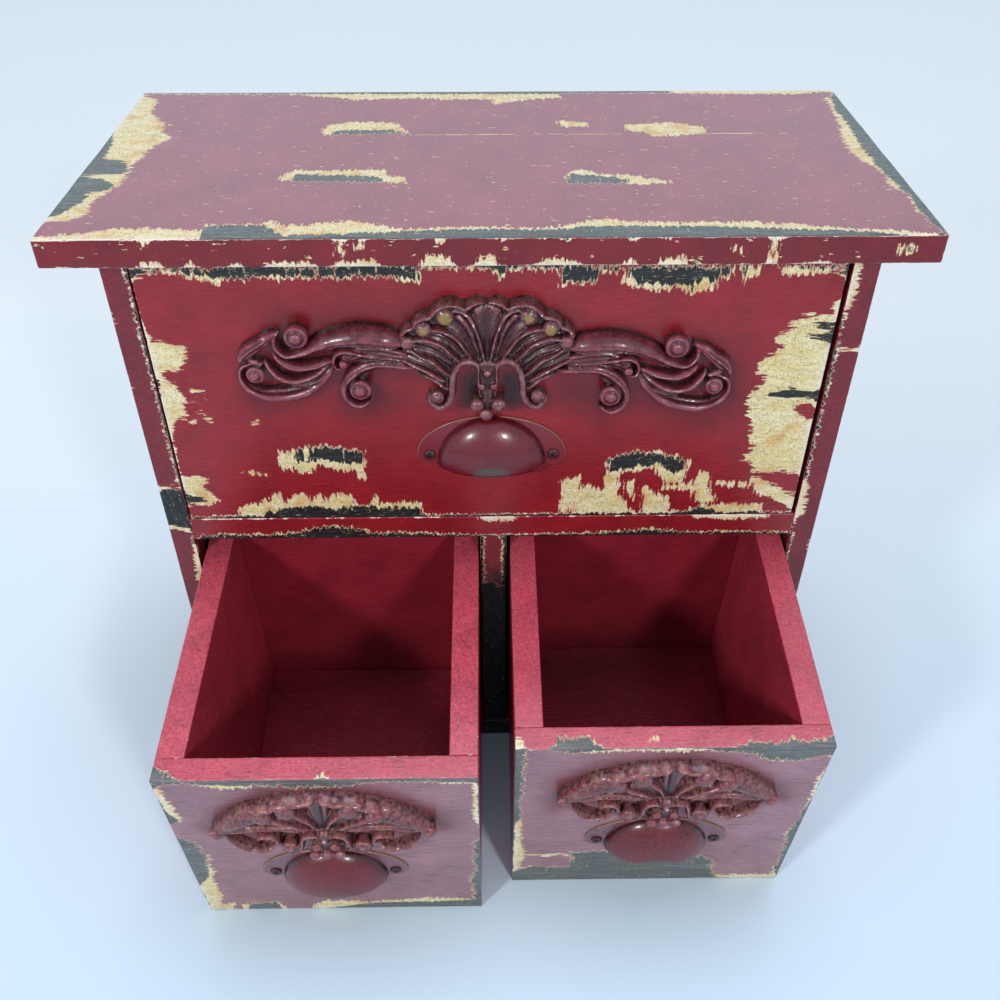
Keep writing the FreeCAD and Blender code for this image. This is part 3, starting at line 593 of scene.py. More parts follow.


# Drawers: a half-inch front nailed to two walls, with a thin rear and floor let in between.
# The fronts are worn in patches. The rims have only a thin pink-red coat, full of pores, painted
# lighter partly as painted light from above.

UPPER_WORN = [
    [(-112, 150), (-112, 132.9), (-104, 130.9), (-96, 129.9), (-88, 131.9), (-60, 131.9), (-52, 130.4),
     (-40, 131.9), (0, 131.4), (4, 126.9), (8, 130.9), (28, 130.9), (42, 131.9), (60, 132.9),
     (90, 133.4), (120, 133.9), (120, 150)], [(-145, -8), (145, -8), (145, 1.3), (-145, 1.3)],
    [(-133, 133), (-133.5, 131.5), (-127.5, 130), (-124, 129), (-118, 127.5), (-112, 125.5),
     (-107, 127), (-102.5, 127.5), (-101, 125.5), (-98, 127.5), (-91.5, 128), (-84.5, 127),
     (-80.5, 128.5), (-73, 128), (-63, 127), (-54.5, 128), (-42, 128), (-29, 126), (-28.5, 133.5)],
    [(-153.5, 133.5), (-133, 131.5), (-148.5, 128), (-150, 124), (-150.5, 118), (-147.5, 117),
     (-148, 108), (-146, 103.5), (-144, 99), (-129.5, 95.5), (-130.5, 92), (-133, 86), (-144, 82),
     (-136, 75.5), (-136, 68.5), (-135.5, 61.5), (-143, 56), (-145.5, 49), (-146, 43.5), (-147.5, 34.5),
     (-147, 26.5), (-132.5, 25), (-136, 20), (-130.5, 11.5), (-136, 9), (-152, 10.5), (-153.5, 4.5),
     (-146, 2.5), (-146, -9), (-158, -11), (-154, 131.5)],
    [(-132, 74.5), (-127, 74.5), (-127, 73), (-132, 73)],
    [(-130.5, 71), (-126.5, 70.5), (-126.5, 69.5), (-131, 69.5)],
    [(-133, 68), (-130.5, 68), (-131, 67), (-133.5, 67)],
    [(-132, 63), (-128, 63), (-128, 61.5), (-132.5, 61.5)],
    [(-144, 59.5), (-133.5, 58.5), (-133.5, 57), (-144, 58)],
    [(-128, 59.5), (-125.5, 59.5), (-126, 58), (-128, 58)],
    [(-107, 57.5), (-105.5, 57.5), (-106, 55.5), (-107.5, 55.5)],
    [(-98, 41), (-92, 41), (-86.5, 43), (-75.5, 44), (-65.5, 41.5), (-58, 40.5), (-59, 23.5),
     (-61.5, 22.5), (-63, 28.5), (-69, 29), (-75.5, 29.5), (-80.5, 32.5), (-83.5, 28), (-91, 27.5),
     (-93, 31.5), (-98, 29), (-100, 35.5)],
    [(-116.5, 29.5), (-111, 28.5), (-103.5, 27), (-103.5, 26), (-111.5, 27.5), (-116.5, 28)],
    [(-121.5, 5.5), (-117, 9), (-110.5, 10), (-101.5, 16), (-99.5, 10), (-95, 15.5), (-89.5, 16),
     (-86.5, 12.5), (-81.5, 16), (-79, 11), (-75, 14.5), (-68.5, 15), (-65.5, 9.5), (-62, 7.5),
     (-59, 9.5), (-55, 14.5), (-54.5, 9.5), (-46.5, 8.5), (-40.5, 10.5), (-34.5, 8), (-35.5, -12.5),
     (-146.5, -11.5), (-121, -5.5)],
    [(28.5, 124), (35.5, 125), (43, 125), (45, 129), (55, 130), (55, 125), (62, 122), (71, 121.5),
     (77.5, 122.5), (82.5, 119.5), (85.5, 121), (92.5, 120.5), (93, 126.5), (98.5, 127), (98.5, 132.5),
     (28, 133)], [(101.5, 132.5), (104, 124.5), (106, 126.5), (110, 128.5), (109, 132.5)],
    [(116.5, 132.5), (119, 128), (142.5, 129.5), (147.5, 127), (148.5, 117.5), (151, 115.5),
     (153, 131.5)],
    [(153, 116.5), (142.5, 116), (144.5, 110.5), (142.5, 109), (130.5, 109.5), (128.5, 107),
     (125.5, 105.5), (130, 103), (123, 100.5), (122, 97), (126.5, 94.5), (123.5, 91.5), (118, 88.5),
     (116.5, 81.5), (121, 78.5), (118, 73.5), (114, 66), (116.5, 61), (115.5, 58), (119, 52),
     (118, 46.5), (121, 38.5), (116.5, 34), (122.5, 30.5), (123, 26.5), (148.5, 25.5), (149, 32.5),
     (150, 43), (149.5, 54), (144, 55), (135.5, 63), (150.5, 66.5), (156, 66.5)],
    [(54, 34.5), (68.5, 39.5), (77.5, 39), (92.5, 34), (91, 20), (83, 19.5), (79, 25), (75.5, 29.5),
     (72, 27.5), (60, 26.5), (60, 14.5), (64.5, 7), (70.5, 2), (72, -8), (40, -9), (38.5, 8.5),
     (33, -5), (32.5, 22), (41.5, 25.5), (43, 17), (46.5, 19.5), (53, 15.5)],
    [(71, 19), (85, 10.5), (86, 3), (85, -5.5), (73.5, -5.5)],
    [(63.5, 21.5), (68, 22.5), (69, 9.5), (65, 12)],
    [(97.5, 27), (102.5, 26.5), (104.5, 16.5), (109, 9), (103.5, 6.5), (97, 8), (95.5, 17.5)],
    [(107.5, 20), (121.5, 20.5), (122.5, 17), (108, 18)],
    [(123.5, 24.5), (130, 21), (146.5, 11), (148, 6), (144.5, 3.5), (133.5, 11), (126.5, 12.5)],
    [(81.5, 18.5), (89, 19), (94, 20), (94.5, 16), (81.5, 16.5)],
    [(72, -8), (74.5, 2), (94.5, 3.5), (100, 6.5), (131.5, 7), (132, 2.5), (120, -6.5), (118.5, -9.5)],
]
UPPER_BARE = [
    [(-112, 150), (-112, 133.8), (-104, 132.3), (-88, 133.3), (-60, 132.8), (-52, 131.3), (-40, 132.8),
     (0, 132.3), (4, 128.3), (8, 131.8), (28, 132.3), (42, 132.8), (60, 133.8), (90, 134.3),
     (120, 134.8), (120, 150)], [(-145, -8), (145, -8), (145, 1.2), (-145, 1.2)],
    [(-128.5, 134), (-129, 131.5), (-120.5, 130), (-114, 128.5), (-107, 128), (-101, 125.5),
     (-98, 127.5), (-91.5, 128.5), (-63, 128), (-29, 127), (-28.5, 133.5)],
    [(-153.5, 133.5), (-134, 131), (-148.5, 129), (-152, 127.5)],
    [(-152, 127.5), (-150.5, 123), (-151, 118), (-147.5, 116.5), (-149.5, 112.5), (-150.5, 105.5),
     (-147.5, 100.5), (-147.5, 96), (-151.5, 94), (-153.5, 121.5)],
    [(-153.5, 88.5), (-152, 80.5), (-145.5, 79.5), (-147, 70.5), (-149, 62.5), (-153, 58.5),
     (-154.5, 64.5)], [(-151, 27), (-146, 26), (-146.5, 25), (-151, 25)],
    [(-150, 20), (-144.5, 15), (-134.5, 12), (-144, 10.5), (-151, 11.5)],
    [(-156, 3.5), (-146, 2), (-146.5, -11.5), (-158, -11)],
    [(-90.5, 42), (-86.5, 42.5), (-86, 34), (-91, 34.5)],
    [(-83.5, 43), (-75.5, 43.5), (-58.5, 40), (-59, 33.5), (-70.5, 33.5), (-79, 35.5), (-82, 33.5),
     (-84.5, 34.5)],
    [(-135, -11.5), (-121, -6), (-107.5, 4), (-101, 6.5), (-87, 7.5), (-75, 5.5), (-66, 7.5),
     (-59.5, 8), (-53, 6), (-45.5, 6), (-34.5, 6), (-35.5, -12.5)],
    [(28.5, 124.5), (32.5, 125.5), (36.5, 125), (43, 125.5), (46, 130.5), (55, 130), (62.5, 123),
     (65, 125), (70.5, 124), (77, 124.5), (80.5, 123), (83, 120.5), (84.5, 125.5), (88.5, 126.5),
     (92.5, 124), (93, 127.5), (98.5, 127.5), (98.5, 132.5), (28, 133)],
    [(102.5, 132.5), (104, 127.5), (106, 132.5)],
    [(120.5, 132.5), (136, 130.5), (147.5, 128), (148.5, 123.5), (151.5, 123.5), (151.5, 132.5)],
    [(133, 105.5), (150, 105), (150, 100), (142.5, 103)],
    [(132, 100), (150, 100), (150, 95.5), (145.5, 96.5), (135, 98.5)],
    [(123.5, 71), (132, 72.5), (150, 71), (150, 67.5), (132, 67.5), (125, 68.5)],
    [(54.5, 33.5), (57.5, 36.5), (68.5, 38.5), (77.5, 38), (91, 34), (92, 32), (90.5, 27.5), (86, 26),
     (80.5, 29), (76.5, 32), (73, 30), (69, 31.5), (66.5, 29), (60, 28.5), (55.5, 27.5)],
    [(33, -9), (33, 2.5), (39, -5), (74.5, -5), (94.5, 2.5), (100, 6), (108, 3), (110, -9.5)],
]
UPPER_DEEP = [
    [(-93, 105), (-86, 109.5), (-75, 109.5), (-47, 108), (-39.5, 104.5), (-35, 110), (-29.5, 113.5),
     (-31, 81.5), (-49.5, 80), (-44, 68), (-55, 62), (-63.5, 64), (-66, 80), (-79.5, 72), (-88.5, 66),
     (-105, 68.5)],
    [(29, 107.5), (38, 100), (54.5, 99), (73.5, 97), (78.5, 98.5), (88.5, 96.5), (107.5, 84.5),
     (110.5, 74.5), (106.5, 60), (94, 54.5), (75, 62), (59, 75), (57.5, 64.5), (49, 57), (41, 66.5),
     (30.5, 71)],
]
# Painted shadow inside the palmette's arch, between its legs and its drop.
UPPER_PAINTED_SHADOW = [
    [(3, 64), (14, 64), (13, 80), (9, 84), (4, 82)],
    [(-14, 64), (-3, 64), (-4, 82), (-9, 84), (-13, 80)],
]
LEFT_WORN = [
    [(-73, 141), (-42, 140.5), (14.5, 139.5), (77, 140), (77, 125.5), (67, 124.5), (50.5, 126.5),
     (34, 127.5), (21, 126.5), (13, 124), (-10, 122.5), (-18, 124.5), (-25.5, 125.5), (-29.5, 123),
     (-39.5, 123), (-46, 125), (-56, 128), (-74, 123.5)],
    [(-76.5, 129), (-65.5, 123.5), (-63.5, 103), (-62.5, 95), (-73.5, 89), (-73, 83), (-60.5, 74.5),
     (-59.5, 61.5), (-57, 59), (-60, 50), (-57, 43), (-60.5, 36), (-59.5, 29), (-60, 16.5), (-62, 6.5),
     (-55, 9), (-56.5, 2.5), (-58, -10), (-78.5, -10), (-78.5, 89)],
    [(-51, 6), (-40.5, 8.5), (-32, 8), (-30.5, -4.5), (-33.5, -11), (-52.5, -10.5)],
    [(-16, 5), (-9.5, 10), (12.5, 8), (27, 9), (40, 11.5), (63, 9.5), (76, 15.5), (75.5, -11),
     (-17.5, -11.5)],
    [(66.5, 130), (78.5, 130), (78, 5.5), (65.5, 5.5), (63.5, 33), (66, 40), (65.5, 71.5), (74, 73.5),
     (67.5, 92), (66, 98), (67, 115.5)],
]
LEFT_BARE = [
    [(-75, 141.5), (-22, 139.5), (14, 139), (77, 139.5), (77, 128), (34, 128.5), (19, 127),
     (11.5, 124.5), (-11, 123), (-19, 126), (-25, 126.5), (-56, 129), (-74, 125.5)],
    [(-76.5, 129), (-72.5, 122), (-72, 105), (-65.5, 95), (-73.5, 81), (-60.5, 74.5), (-60.5, 65.5),
     (-60.5, 57), (-64, 38.5), (-73, 26.5), (-78.5, 89)],
    [(-46.5, 4.5), (-35, 8), (-36, -11), (-48, -10.5)],
    [(74.5, 126.5), (78.5, 126), (78, -6), (66, 10.5), (65, 30.5), (67.5, 49), (66.5, 69), (74.5, 73.5),
     (74, 94)], [(-16.5, -5), (12, 4), (45.5, 5), (76, 6.5), (75.5, -11), (-17.5, -11.5)],
]
LEFT_DEEP = [
    [(-50.5, 86.5), (-45.5, 98.5), (-19.5, 117), (3.5, 120.5), (26.5, 116), (51, 96.5), (54, 88.5),
     (39, 86.5), (1.5, 101.5), (-40, 84.5)],
]
RIGHT_WORN = [
    [(-77.5, 144), (-45.5, 143.5), (-9, 143), (28, 142), (76.5, 143), (74, 127.5), (63, 124),
     (55.5, 121), (40, 122.5), (35, 127.5), (10, 131.5), (4, 130), (-17.5, 131.5), (-45.5, 130),
     (-64, 138.5), (-77.5, 130.5)],
    [(-77.5, 146), (-63.5, 141), (-64, 121), (-65, 107), (-65, 68), (-64.5, 46.5), (-62.5, 31.5),
     (-66, 10.5), (-65.5, -12), (-77, -12)],
    [(-74, 10.5), (-58, 18), (-49.5, 16.5), (-40.5, 17.5), (-40, 32.5), (-24, 34.5), (25.5, 28),
     (33, 21.5), (37, -15), (-76, -12)], [(-62.5, 31.5), (-41, 30.5), (-41, 28.5), (-62, 29.5)],
    [(76.5, 143), (74, 124), (66.5, 106), (67.5, 98), (67.5, 83), (66.5, 74), (67, 67), (63.5, 50.5),
     (65.5, 36), (65.5, 17.5), (65, 7), (75.5, -10.5), (83, -16.5), (85, 125.5)],
    [(34.5, 4), (67, 4.5), (75, -10.5), (36, -9.5)],
]
RIGHT_BARE = [
    [(-77.5, 144), (-9, 143), (-14, 138), (-45.5, 131.5), (-73.5, 139.5)],
    [(9.5, 142.5), (76.5, 143), (67, 128.5), (62, 124.5), (54, 122.5), (40.5, 124), (36, 128),
     (19.5, 131), (10, 138.5)],
    [(-77.5, 140.5), (-65.5, 130.5), (-66, 107), (-65.5, 70.5), (-73.5, 66), (-74, 51.5), (-76.5, 47)],
    [(-66, 10.5), (-58, 15.5), (-49, 14), (-40.5, 15.5), (-39, 31), (-24, 33), (25.5, 26.5), (32.5, 21),
     (36.5, -15), (-76, -12)],
    [(76.5, 143), (75, 116), (74.5, 98), (67.5, 71.5), (66, 43.5), (67, 12.5), (77.5, -10.5),
     (85, 125.5)],
]
RIGHT_DEEP = [
    [(-50, 81), (-48.5, 102.5), (-28.5, 114), (2, 122.5), (26, 114), (49.5, 98), (54.5, 87.5), (36, 90),
     (4.5, 105.5), (-38, 87.5)],
]
LEFT_RIM = {
    "worn": [
        [(-70, -2), (-56, -2), (-60, 3), (-63, 5), (-70, 6)], [(0, -1), (7, -1), (3.5, 2.5)],
    ],
    "bare": [
        [(-70, -2), (-57, -2), (-61, 2.5), (-64, 4), (-70, 5)],
    ],
}
RIGHT_RIM = {
    "worn": [
        [(-54, -1), (-31, -1), (-36, 5.5), (-50, 6)],
        [(24, -1), (71, -1), (71, 5), (58, 3), (50, 4.5), (44, 2), (33, 3)],
        [(-70, -1), (-64, -1), (-66, 5), (-70, 6)], [(-12, 4), (-9, 6), (-6, 4)],
    ],
    "bare": [
        [(-52, 0), (-34, 0), (-38, 4.5), (-49, 5)], [(27, -1), (71, -1), (71, 3.5), (52, 3), (34, 1.5)],
    ],
}

AGED = {"under": ("4a524e", "6a7270", "6b555a"), "thin_cream": 0.34, "cracks": 0.8}
fronts = {
    "upper": (11, "8c1a22", {}, {"front": {"worn": UPPER_WORN, "bare": UPPER_BARE,
                                           "deep": UPPER_DEEP, "grime": UPPER_PAINTED_SHADOW}}),
    "left_drawer": (12, "946870", AGED, {"front": {"worn": LEFT_WORN, "bare": LEFT_BARE,
                                                   "deep": LEFT_DEEP}, "top": LEFT_RIM}),
    "right_drawer": (13, "986b74", AGED, {"front": {"worn": RIGHT_WORN, "bare": RIGHT_BARE,
                                                    "deep": RIGHT_DEEP}, "top": RIGHT_RIM}),
}
drawer_bodies = {"upper": "upper_drawer", "left_drawer": "left_drawer", "right_drawer": "right_drawer"}
drawer_tilts = {"upper": 0.0}
for joint in frame["joints"]:
    if joint["name"] in ("left_drawer_slide", "right_drawer_slide"):
        _, forward, down = joint["axis"]
        drawer_tilts[joint["name"].removesuffix("_slide")] = math.atan2(-down, -forward)
# Painted light: the walls' red is lighter than the fronts', for the light inside the drawers, and
# lighter again on the rims.
wall_paint = chipped_paint("thin_red_on_drawer_walls", "b2384b", "c64c5f", grain=(1.0, 0.2, 1.0),
                           arris_wear=0.08, flecks=0.1)
floor_paint = chipped_paint("thin_red_on_drawer_floors", "8e2434", "8e2434", arris_wear=0.05,
                            flecks=0.1)
for drawer, (seed, red, age, wear) in fronts.items():
    body, tilt = drawer_bodies[drawer], drawer_tilts[drawer]
    front_paint = chipped_paint("brushed_red_on_" + drawer + "_front", red, "c64c5f",
                                arris_wear=0.36, **age)
    board(drawer + "_front", body, front_paint, tilt, FINE_STEP, seed=seed, wear=wear)
    for part, paint, slot, shift in (("_left_wall", wall_paint, "painted_wood", 10),
                                     ("_right_wall", wall_paint, "painted_wood", 10),
                                     ("_rear", floor_paint, "painted_wood", 20),
                                     ("_floor", floor_paint, "thin_panel", 30)):
        board(drawer + part, body, paint, tilt, seed=seed + shift)


# Castings: a shell palmette with a hanging drop, a scroll wing to each side of it, and a crest
# on each small drawer. Each is cast in one piece with a flat back, stuck and pinned to the
# drawer front before painting. Outlines are (across, up) in millimetres from the shell's root.

VOXEL = 0.42
BERRY_CROWN = 0.66
SUNK = 0.6
ROUND_ENDS = 0.1
SKIN_WAVE = 0.06
SKIN_WAVE_LENGTH = 5.0
RIBBON_ROWS = 64
SECTION_POINTS = 25
PALMETTE_HANG = 21.8
CREST_HANG = 12.8
RIGHT_WING_TURN = 4.2
RIGHT_WING_SHIFT = -1.0


def smooth_line(knots, count):
    """Evenly spaced points on a smooth line: between two knots a cubic, with the slope at each
    knot taken from the knots before and after it."""
    knots = np.array(knots, float)
    padded = np.vstack([2 * knots[0] - knots[1], knots, 2 * knots[-1] - knots[-2]])
    share = np.linspace(0, 1, 24, endpoint=False)[:, None]
    fine = []
    for before, start, end, after in zip(padded, padded[1:], padded[2:], padded[3:]):
        square = 2 * before - 5 * start + 4 * end - after
        cube = 3 * start - before - 3 * end + after
        fine.append((2 * start + (end - before) * share + square * share ** 2
                     + cube * share ** 3) / 2)
    fine = np.vstack(fine + [knots[-1:]])
    length = np.concatenate([[0], np.cumsum(np.linalg.norm(np.diff(fine, axis=0), axis=1))])
    even = np.linspace(0, length[-1], count)
    return np.stack([np.interp(even, length, fine[:, axis]) for axis in (0, 1)], axis=1)


def eased(values, share):
    """A smooth run through evenly spaced values: each stretch follows half a cosine wave."""
    values = np.array(values, float)
    spot = share * (len(values) - 1)
    start = np.minimum(spot.astype(int), len(values) - 2)
    blend = (1 - np.cos(math.pi * (spot - start))) / 2
    return values[start] * (1 - blend) + values[start + 1] * blend


def tube_faces(rows, columns):
    """Faces of a closed tube of rows by columns of points, with a single face over each end."""
    ids = np.arange(rows * columns).reshape(rows, columns)
    after = np.roll(ids, -1, axis=1)
    quads = np.stack([ids[:-1], ids[1:], after[1:], after[:-1]], -1).reshape(-1, 4)
    return quads.tolist() + [ids[0].tolist(), ids[-1, ::-1].tolist()]


def ribbon(knots, widths, heights, hollow=0.0, lean=0.0, flutes=(), power=0.75):
    """A carved ribbon along a smooth line, as points (across, proud, up) and faces.

    Its section is a half ellipse raised to a power, with the crest moved aside by the lean and
    the middle scooped out by the hollow. Each flute (place, depth, breadth) is a bell-shaped
    dip. Width and height follow their values along the line and round off at its ends.
    """
    line = smooth_line(knots, RIBBON_ROWS)
    share = np.linspace(0, 1, RIBBON_ROWS)
    run = np.gradient(line, axis=0)
    run /= np.linalg.norm(run, axis=1)[:, None]
    side = np.stack([-run[:, 1], run[:, 0]], axis=1)
    from_end = np.clip(np.minimum(share, 1 - share) / ROUND_ENDS, 0, 1)
    close = np.sqrt(np.clip(1 - (1 - from_end) ** 2, 0.04, 1))
    half_width = eased(widths, share) / 2 * close
    height = eased(heights, share) * (0.4 + 0.6 * close)
    s = -np.cos(np.linspace(0, math.pi, SECTION_POINTS))
    shape = np.clip(1 - (s + lean * (1 - s ** 2)) ** 2, 0, 1) ** (power / 2)
    shape = shape - hollow * np.exp(-(s / 0.5) ** 2)
    for spot, depth, breadth in flutes:
        shape = shape - depth * np.exp(-((s - spot) / breadth) ** 2)
    edges = np.array([1.0, -1.0])
    across = half_width[:, None] * np.concatenate([s, edges])
    proud = height[:, None] * np.clip(shape, 0, None)
    proud = np.concatenate([proud, np.full((RIBBON_ROWS, 2), -SUNK)], axis=1)
    plan = line[:, None, :] + side[:, None, :] * across[:, :, None]
    points = np.stack([plan[..., 0], proud, plan[..., 1]], axis=-1)
    return points.reshape(-1, 3), tube_faces(RIBBON_ROWS, SECTION_POINTS + 2)


def berry(place, radius, height, stretch=1.0, turn=0.0, groove=0.0):
    """A round berry: a low dome over its widest ring, and straight down from there to the face.
    A groove of a depth runs round the eye of the berries that end a scroll."""
    rise = np.linspace(0, math.pi / 2, 15)[:-1]
    around = np.linspace(0, 2 * math.pi, 28, endpoint=False)
    crown = radius * BERRY_CROWN
    sunk = groove * np.exp(-((np.cos(rise) - 0.62) / 0.13) ** 2)
    reach = np.concatenate([[radius * 0.8], radius * np.cos(rise), [radius * 0.05]])
    level = np.concatenate([[-SUNK], height - crown + crown * np.sin(rise) - sunk, [height]])
    long_way = reach[:, None] * np.cos(around) * stretch
    short_way = reach[:, None] * np.sin(around)
    c, s = math.cos(math.radians(turn)), math.sin(math.radians(turn))
    points = np.stack([place[0] + long_way * c - short_way * s,
                       np.repeat(level[:, None], len(around), axis=1),
                       place[1] + long_way * s + short_way * c], axis=-1)
    return points.reshape(-1, 3), tube_faces(len(reach), len(around))


def web(outline, thickness):
    """The web that joins the carving: one half's outline and its mirror image, of a thickness."""
    half = np.array(outline, float)
    ring = np.vstack([half, half[::-1] * (-1, 1)])
    points = np.stack([np.stack([ring[:, 0], np.full(len(ring), level), ring[:, 1]], -1)
                       for level in (-SUNK, thickness)])
    return points.reshape(-1, 3), tube_faces(2, len(ring))


def both_sides(parts):
    """The parts and their mirror images across the middle line."""
    return parts + [(points * (-1, 1, 1), faces) for points, faces in parts]


def neighbour_mean(values, pairs, count):
    """The mean of each point's neighbours, from the list of edges."""
    total = np.zeros_like(values)
    np.add.at(total, pairs[:, 0], values[pairs[:, 1]])
    np.add.at(total, pairs[:, 1], values[pairs[:, 0]])
    return total / count


def numbers(collection, field, width, kind=np.float32):
    """One field of every item of a mesh collection, as an array with that many columns."""
    values = np.zeros(len(collection) * width, kind)
    collection.foreach_get(field, values)
    return values.reshape(-1, width)


def joined(parts):
    """Several parts as one: their points in a row, and their faces renumbered to match."""
    starts = np.cumsum([0] + [len(points) for points, faces in parts])
    faces = [[index + start for index in face]
             for (points, part_faces), start in zip(parts, starts) for face in part_faces]
    return np.concatenate([points for points, part_faces in parts]), faces


def averaged(values, pairs, count, times):
    """Values after each was replaced so many times by the mean of its neighbours."""
    for _ in range(times):
        values = neighbour_mean(values, pairs, count)
    return values


def melted(parts, root, face_y, seed):
    """One casting from overlapping closed parts, as points, faces and facts of each point.

    The parts are set on the drawer's face and melted together on a fine lattice of cubes, whose
    steps are then smoothed out. The ridge fact is how far a point stands out from the mean of
    its neighbourhood, and the crown fact the same over a wider one. A slow waviness of the
    surface is added along the point's normal.
    """
    points, faces = joined(parts)
    points = np.array([root[0], face_y, root[1]]) + points * (1, -1, 1)
    mesh = bpy.data.meshes.new("rough_casting")
    mesh.from_pydata(points.tolist(), [], faces)
    rough = bpy.data.objects.new("rough_casting", mesh)
    scene.collection.objects.link(rough)
    remesh = rough.modifiers.new("melt", "REMESH")
    remesh.mode = "VOXEL"
    remesh.voxel_size = VOXEL
    melt = rough.evaluated_get(bpy.context.evaluated_depsgraph_get())
    cast = bpy.data.meshes.new_from_object(melt)
    bpy.data.objects.remove(rough)
    bpy.data.meshes.remove(mesh)
    points = numbers(cast.vertices, "co", 3)
    pairs = numbers(cast.edges, "vertices", 2, np.int32)
    quads = numbers(cast.loops, "vertex_index", 1, np.int32).reshape(-1, 4)
    bpy.data.meshes.remove(cast)
    count = np.bincount(pairs.ravel(), minlength=len(points))[:, None]
    for _ in range(3):
        points = points * 0.45 + neighbour_mean(points, pairs, count) * 0.55
    wide = averaged(points, pairs, count, 10)
    wider = averaged(wide, pairs, count, 40)
    normal = np.zeros_like(points)
    a, b, c, d = [points[quads[:, corner]] for corner in range(4)]
    across = np.cross(c - a, d - b)
    for corner in range(4):
        np.add.at(normal, quads[:, corner], across)
    normal /= np.linalg.norm(normal, axis=1)[:, None] + 1e-9
    facts = {
        "place": points - np.array([root[0], face_y, root[1]]),
        "ridge": np.sum((points - wide) * normal, axis=1),
        "crown": np.sum((points - wider) * normal, axis=1),
        "upward": normal[:, 2],
    }
    swell = SKIN_WAVE * waviness(points, SKIN_WAVE_LENGTH, seed)
    return points + normal * swell[:, None], quads, facts


def palmette():
    """The shell: five fluted lobes a side under a scalloped rim, a hood over the hanging drop."""
    half = [
        ribbon([(1.1, 6.7), (2.5, 15.8), (4.2, 23.3), (6.8, 30.1), (10.0, 33.4), (13.2, 34.1),
               (15.6, 32.9)], (1.6, 2.0, 2.6, 3.0), (4.5, 7.0, 7.8, 7.4)),
        ribbon([(5.4, 7.8), (8.2, 13.0), (12.7, 20.4), (18.1, 24.2), (23.8, 25.0), (25.9, 24.9)],
               (1.4, 2.2, 2.6, 2.6), (4.5, 7.2, 7.6, 7.0)),
        ribbon([(10.5, 6.6), (13.9, 11.0), (19.1, 17.2), (25.1, 19.9), (29.1, 19.9), (32.8, 19.0)],
               (1.4, 2.2, 2.8, 2.6), (4.5, 7.2, 7.4, 6.5)),
        ribbon([(14.4, -0.5), (18.0, 3.5), (23.5, 9.3), (27.0, 11.0), (31.0, 13.5), (34.5, 16.6)],
               (1.4, 2.2, 2.4, 2.0), (5.0, 7.0, 6.8, 5.5)),
        ribbon([(17.2, -2.8), (20.7, 0.4), (25.8, 4.1), (31.6, 7.2), (37.6, 10.0)],
               (1.6, 2.4, 2.6, 2.0), (5.0, 6.6, 6.2, 4.6)),
        ribbon([(16.6, -6.2), (18.5, -4.7), (22.1, -1.3), (26.0, 0.4), (30.4, 1.1)],
               (1.8, 2.6, 2.4, 1.0), (4.6, 5.6, 4.6, 2.2)),
        ribbon([(3.2, 6.0), (6.6, 16.0), (10.4, 24.5), (15.5, 30.0)], (1.6, 4.5, 8.0, 9.0),
               (3.6, 5.4, 6.6, 6.4), hollow=0.42, power=0.4),
        ribbon([(8.6, 8.6), (14.2, 17.2), (20.0, 22.0), (28.0, 23.4)], (1.4, 4.0, 6.0, 6.0),
               (3.6, 5.2, 6.2, 6.0), hollow=0.42, power=0.4),
        ribbon([(13.0, 4.4), (18.2, 10.6), (24.5, 15.0), (33.0, 17.0)], (1.4, 4.5, 6.0, 4.5),
               (3.4, 4.6, 5.4, 5.0), hollow=0.45, power=0.4),
        ribbon([(17.0, -0.2), (21.0, 4.6), (27.0, 8.4), (35.5, 12.4)], (1.2, 3.2, 3.8, 3.5),
               (3.2, 4.0, 4.6, 4.4), hollow=0.4, power=0.4),
        ribbon([(0.0, 36.2), (3.6, 37.2), (6.6, 36.0), (9.0, 34.6), (12.6, 36.2), (17.0, 36.4),
               (21.0, 34.2), (23.6, 31.2), (26.0, 30.6), (29.2, 29.0), (31.0, 26.0), (34.0, 24.4),
               (36.0, 21.6), (36.2, 18.4)], (2.4, 3.0, 3.2, 3.2, 3.0, 2.6),
               (6.4, 7.2, 7.8, 7.8, 7.0, 6.0)),
        ribbon([(2.0, 1.6), (3.6, 3.2), (4.4, 7.1), (7.2, 9.1), (11.1, 8.4), (14.0, 3.9), (15.3, -2.7),
               (15.7, -8.1), (17.9, -12.9), (21.4, -14.6), (24.7, -12.2), (25.2, -9.2), (23.4, -6.6)],
               (2.6, 3.4, 3.8, 3.6, 2.2), (6.2, 7.6, 7.4, 7.0, 5.6), hollow=0.12),
        berry((17.3, 31.3), 3.9, 8.9),
        berry((26.5, 25.4), 3.4, 8.5),
        berry((33.4, 18.6), 3.0, 7.6),
        berry((21.9, -8.9), 3.0, 7.2, groove=0.9),
        berry((4.7, -12.7), 3.1, 8.2),
        berry((2.6, -2.9), 1.5, 7.6),
        ribbon([(3.7, 7.5), (3.9, 1.0), (3.5, -5.5), (2.6, -8.6)], (1.4, 1.8, 1.2), (6.8, 7.4, 6.6)),
    ]
    middle = [
        web([(0, 36.6), (5, 36.2), (9, 34.6), (18, 34.6), (24, 30.4), (30, 26.2), (35.2, 19.4),
            (36.0, 12.0), (26, 3.6), (19, -4.4), (15, -5.0), (12, 4.8), (4, 6.2), (4, -12)], 2.6),
        ribbon([(0, 6.0), (0, 18.0), (0, 28.0), (0, 36.0)], (1.6, 6.0, 11.0, 13.0),
               (4.0, 5.2, 6.2, 6.4), hollow=0.35, power=0.4),
        ribbon([(0, 9.5), (0, 2.0), (0, -6.0), (0, -13.0), (0, -16.0)], (7.6, 8.6, 7.6, 4.6, 5.0),
               (6.4, 6.2, 6.0, 5.8, 5.6), hollow=0.18, power=0.45),
        berry((0, 3.6), 1.9, 7.4),
        berry((-0.7, -18.4), 2.9, 7.0),
    ]
    return both_sides(half) + middle


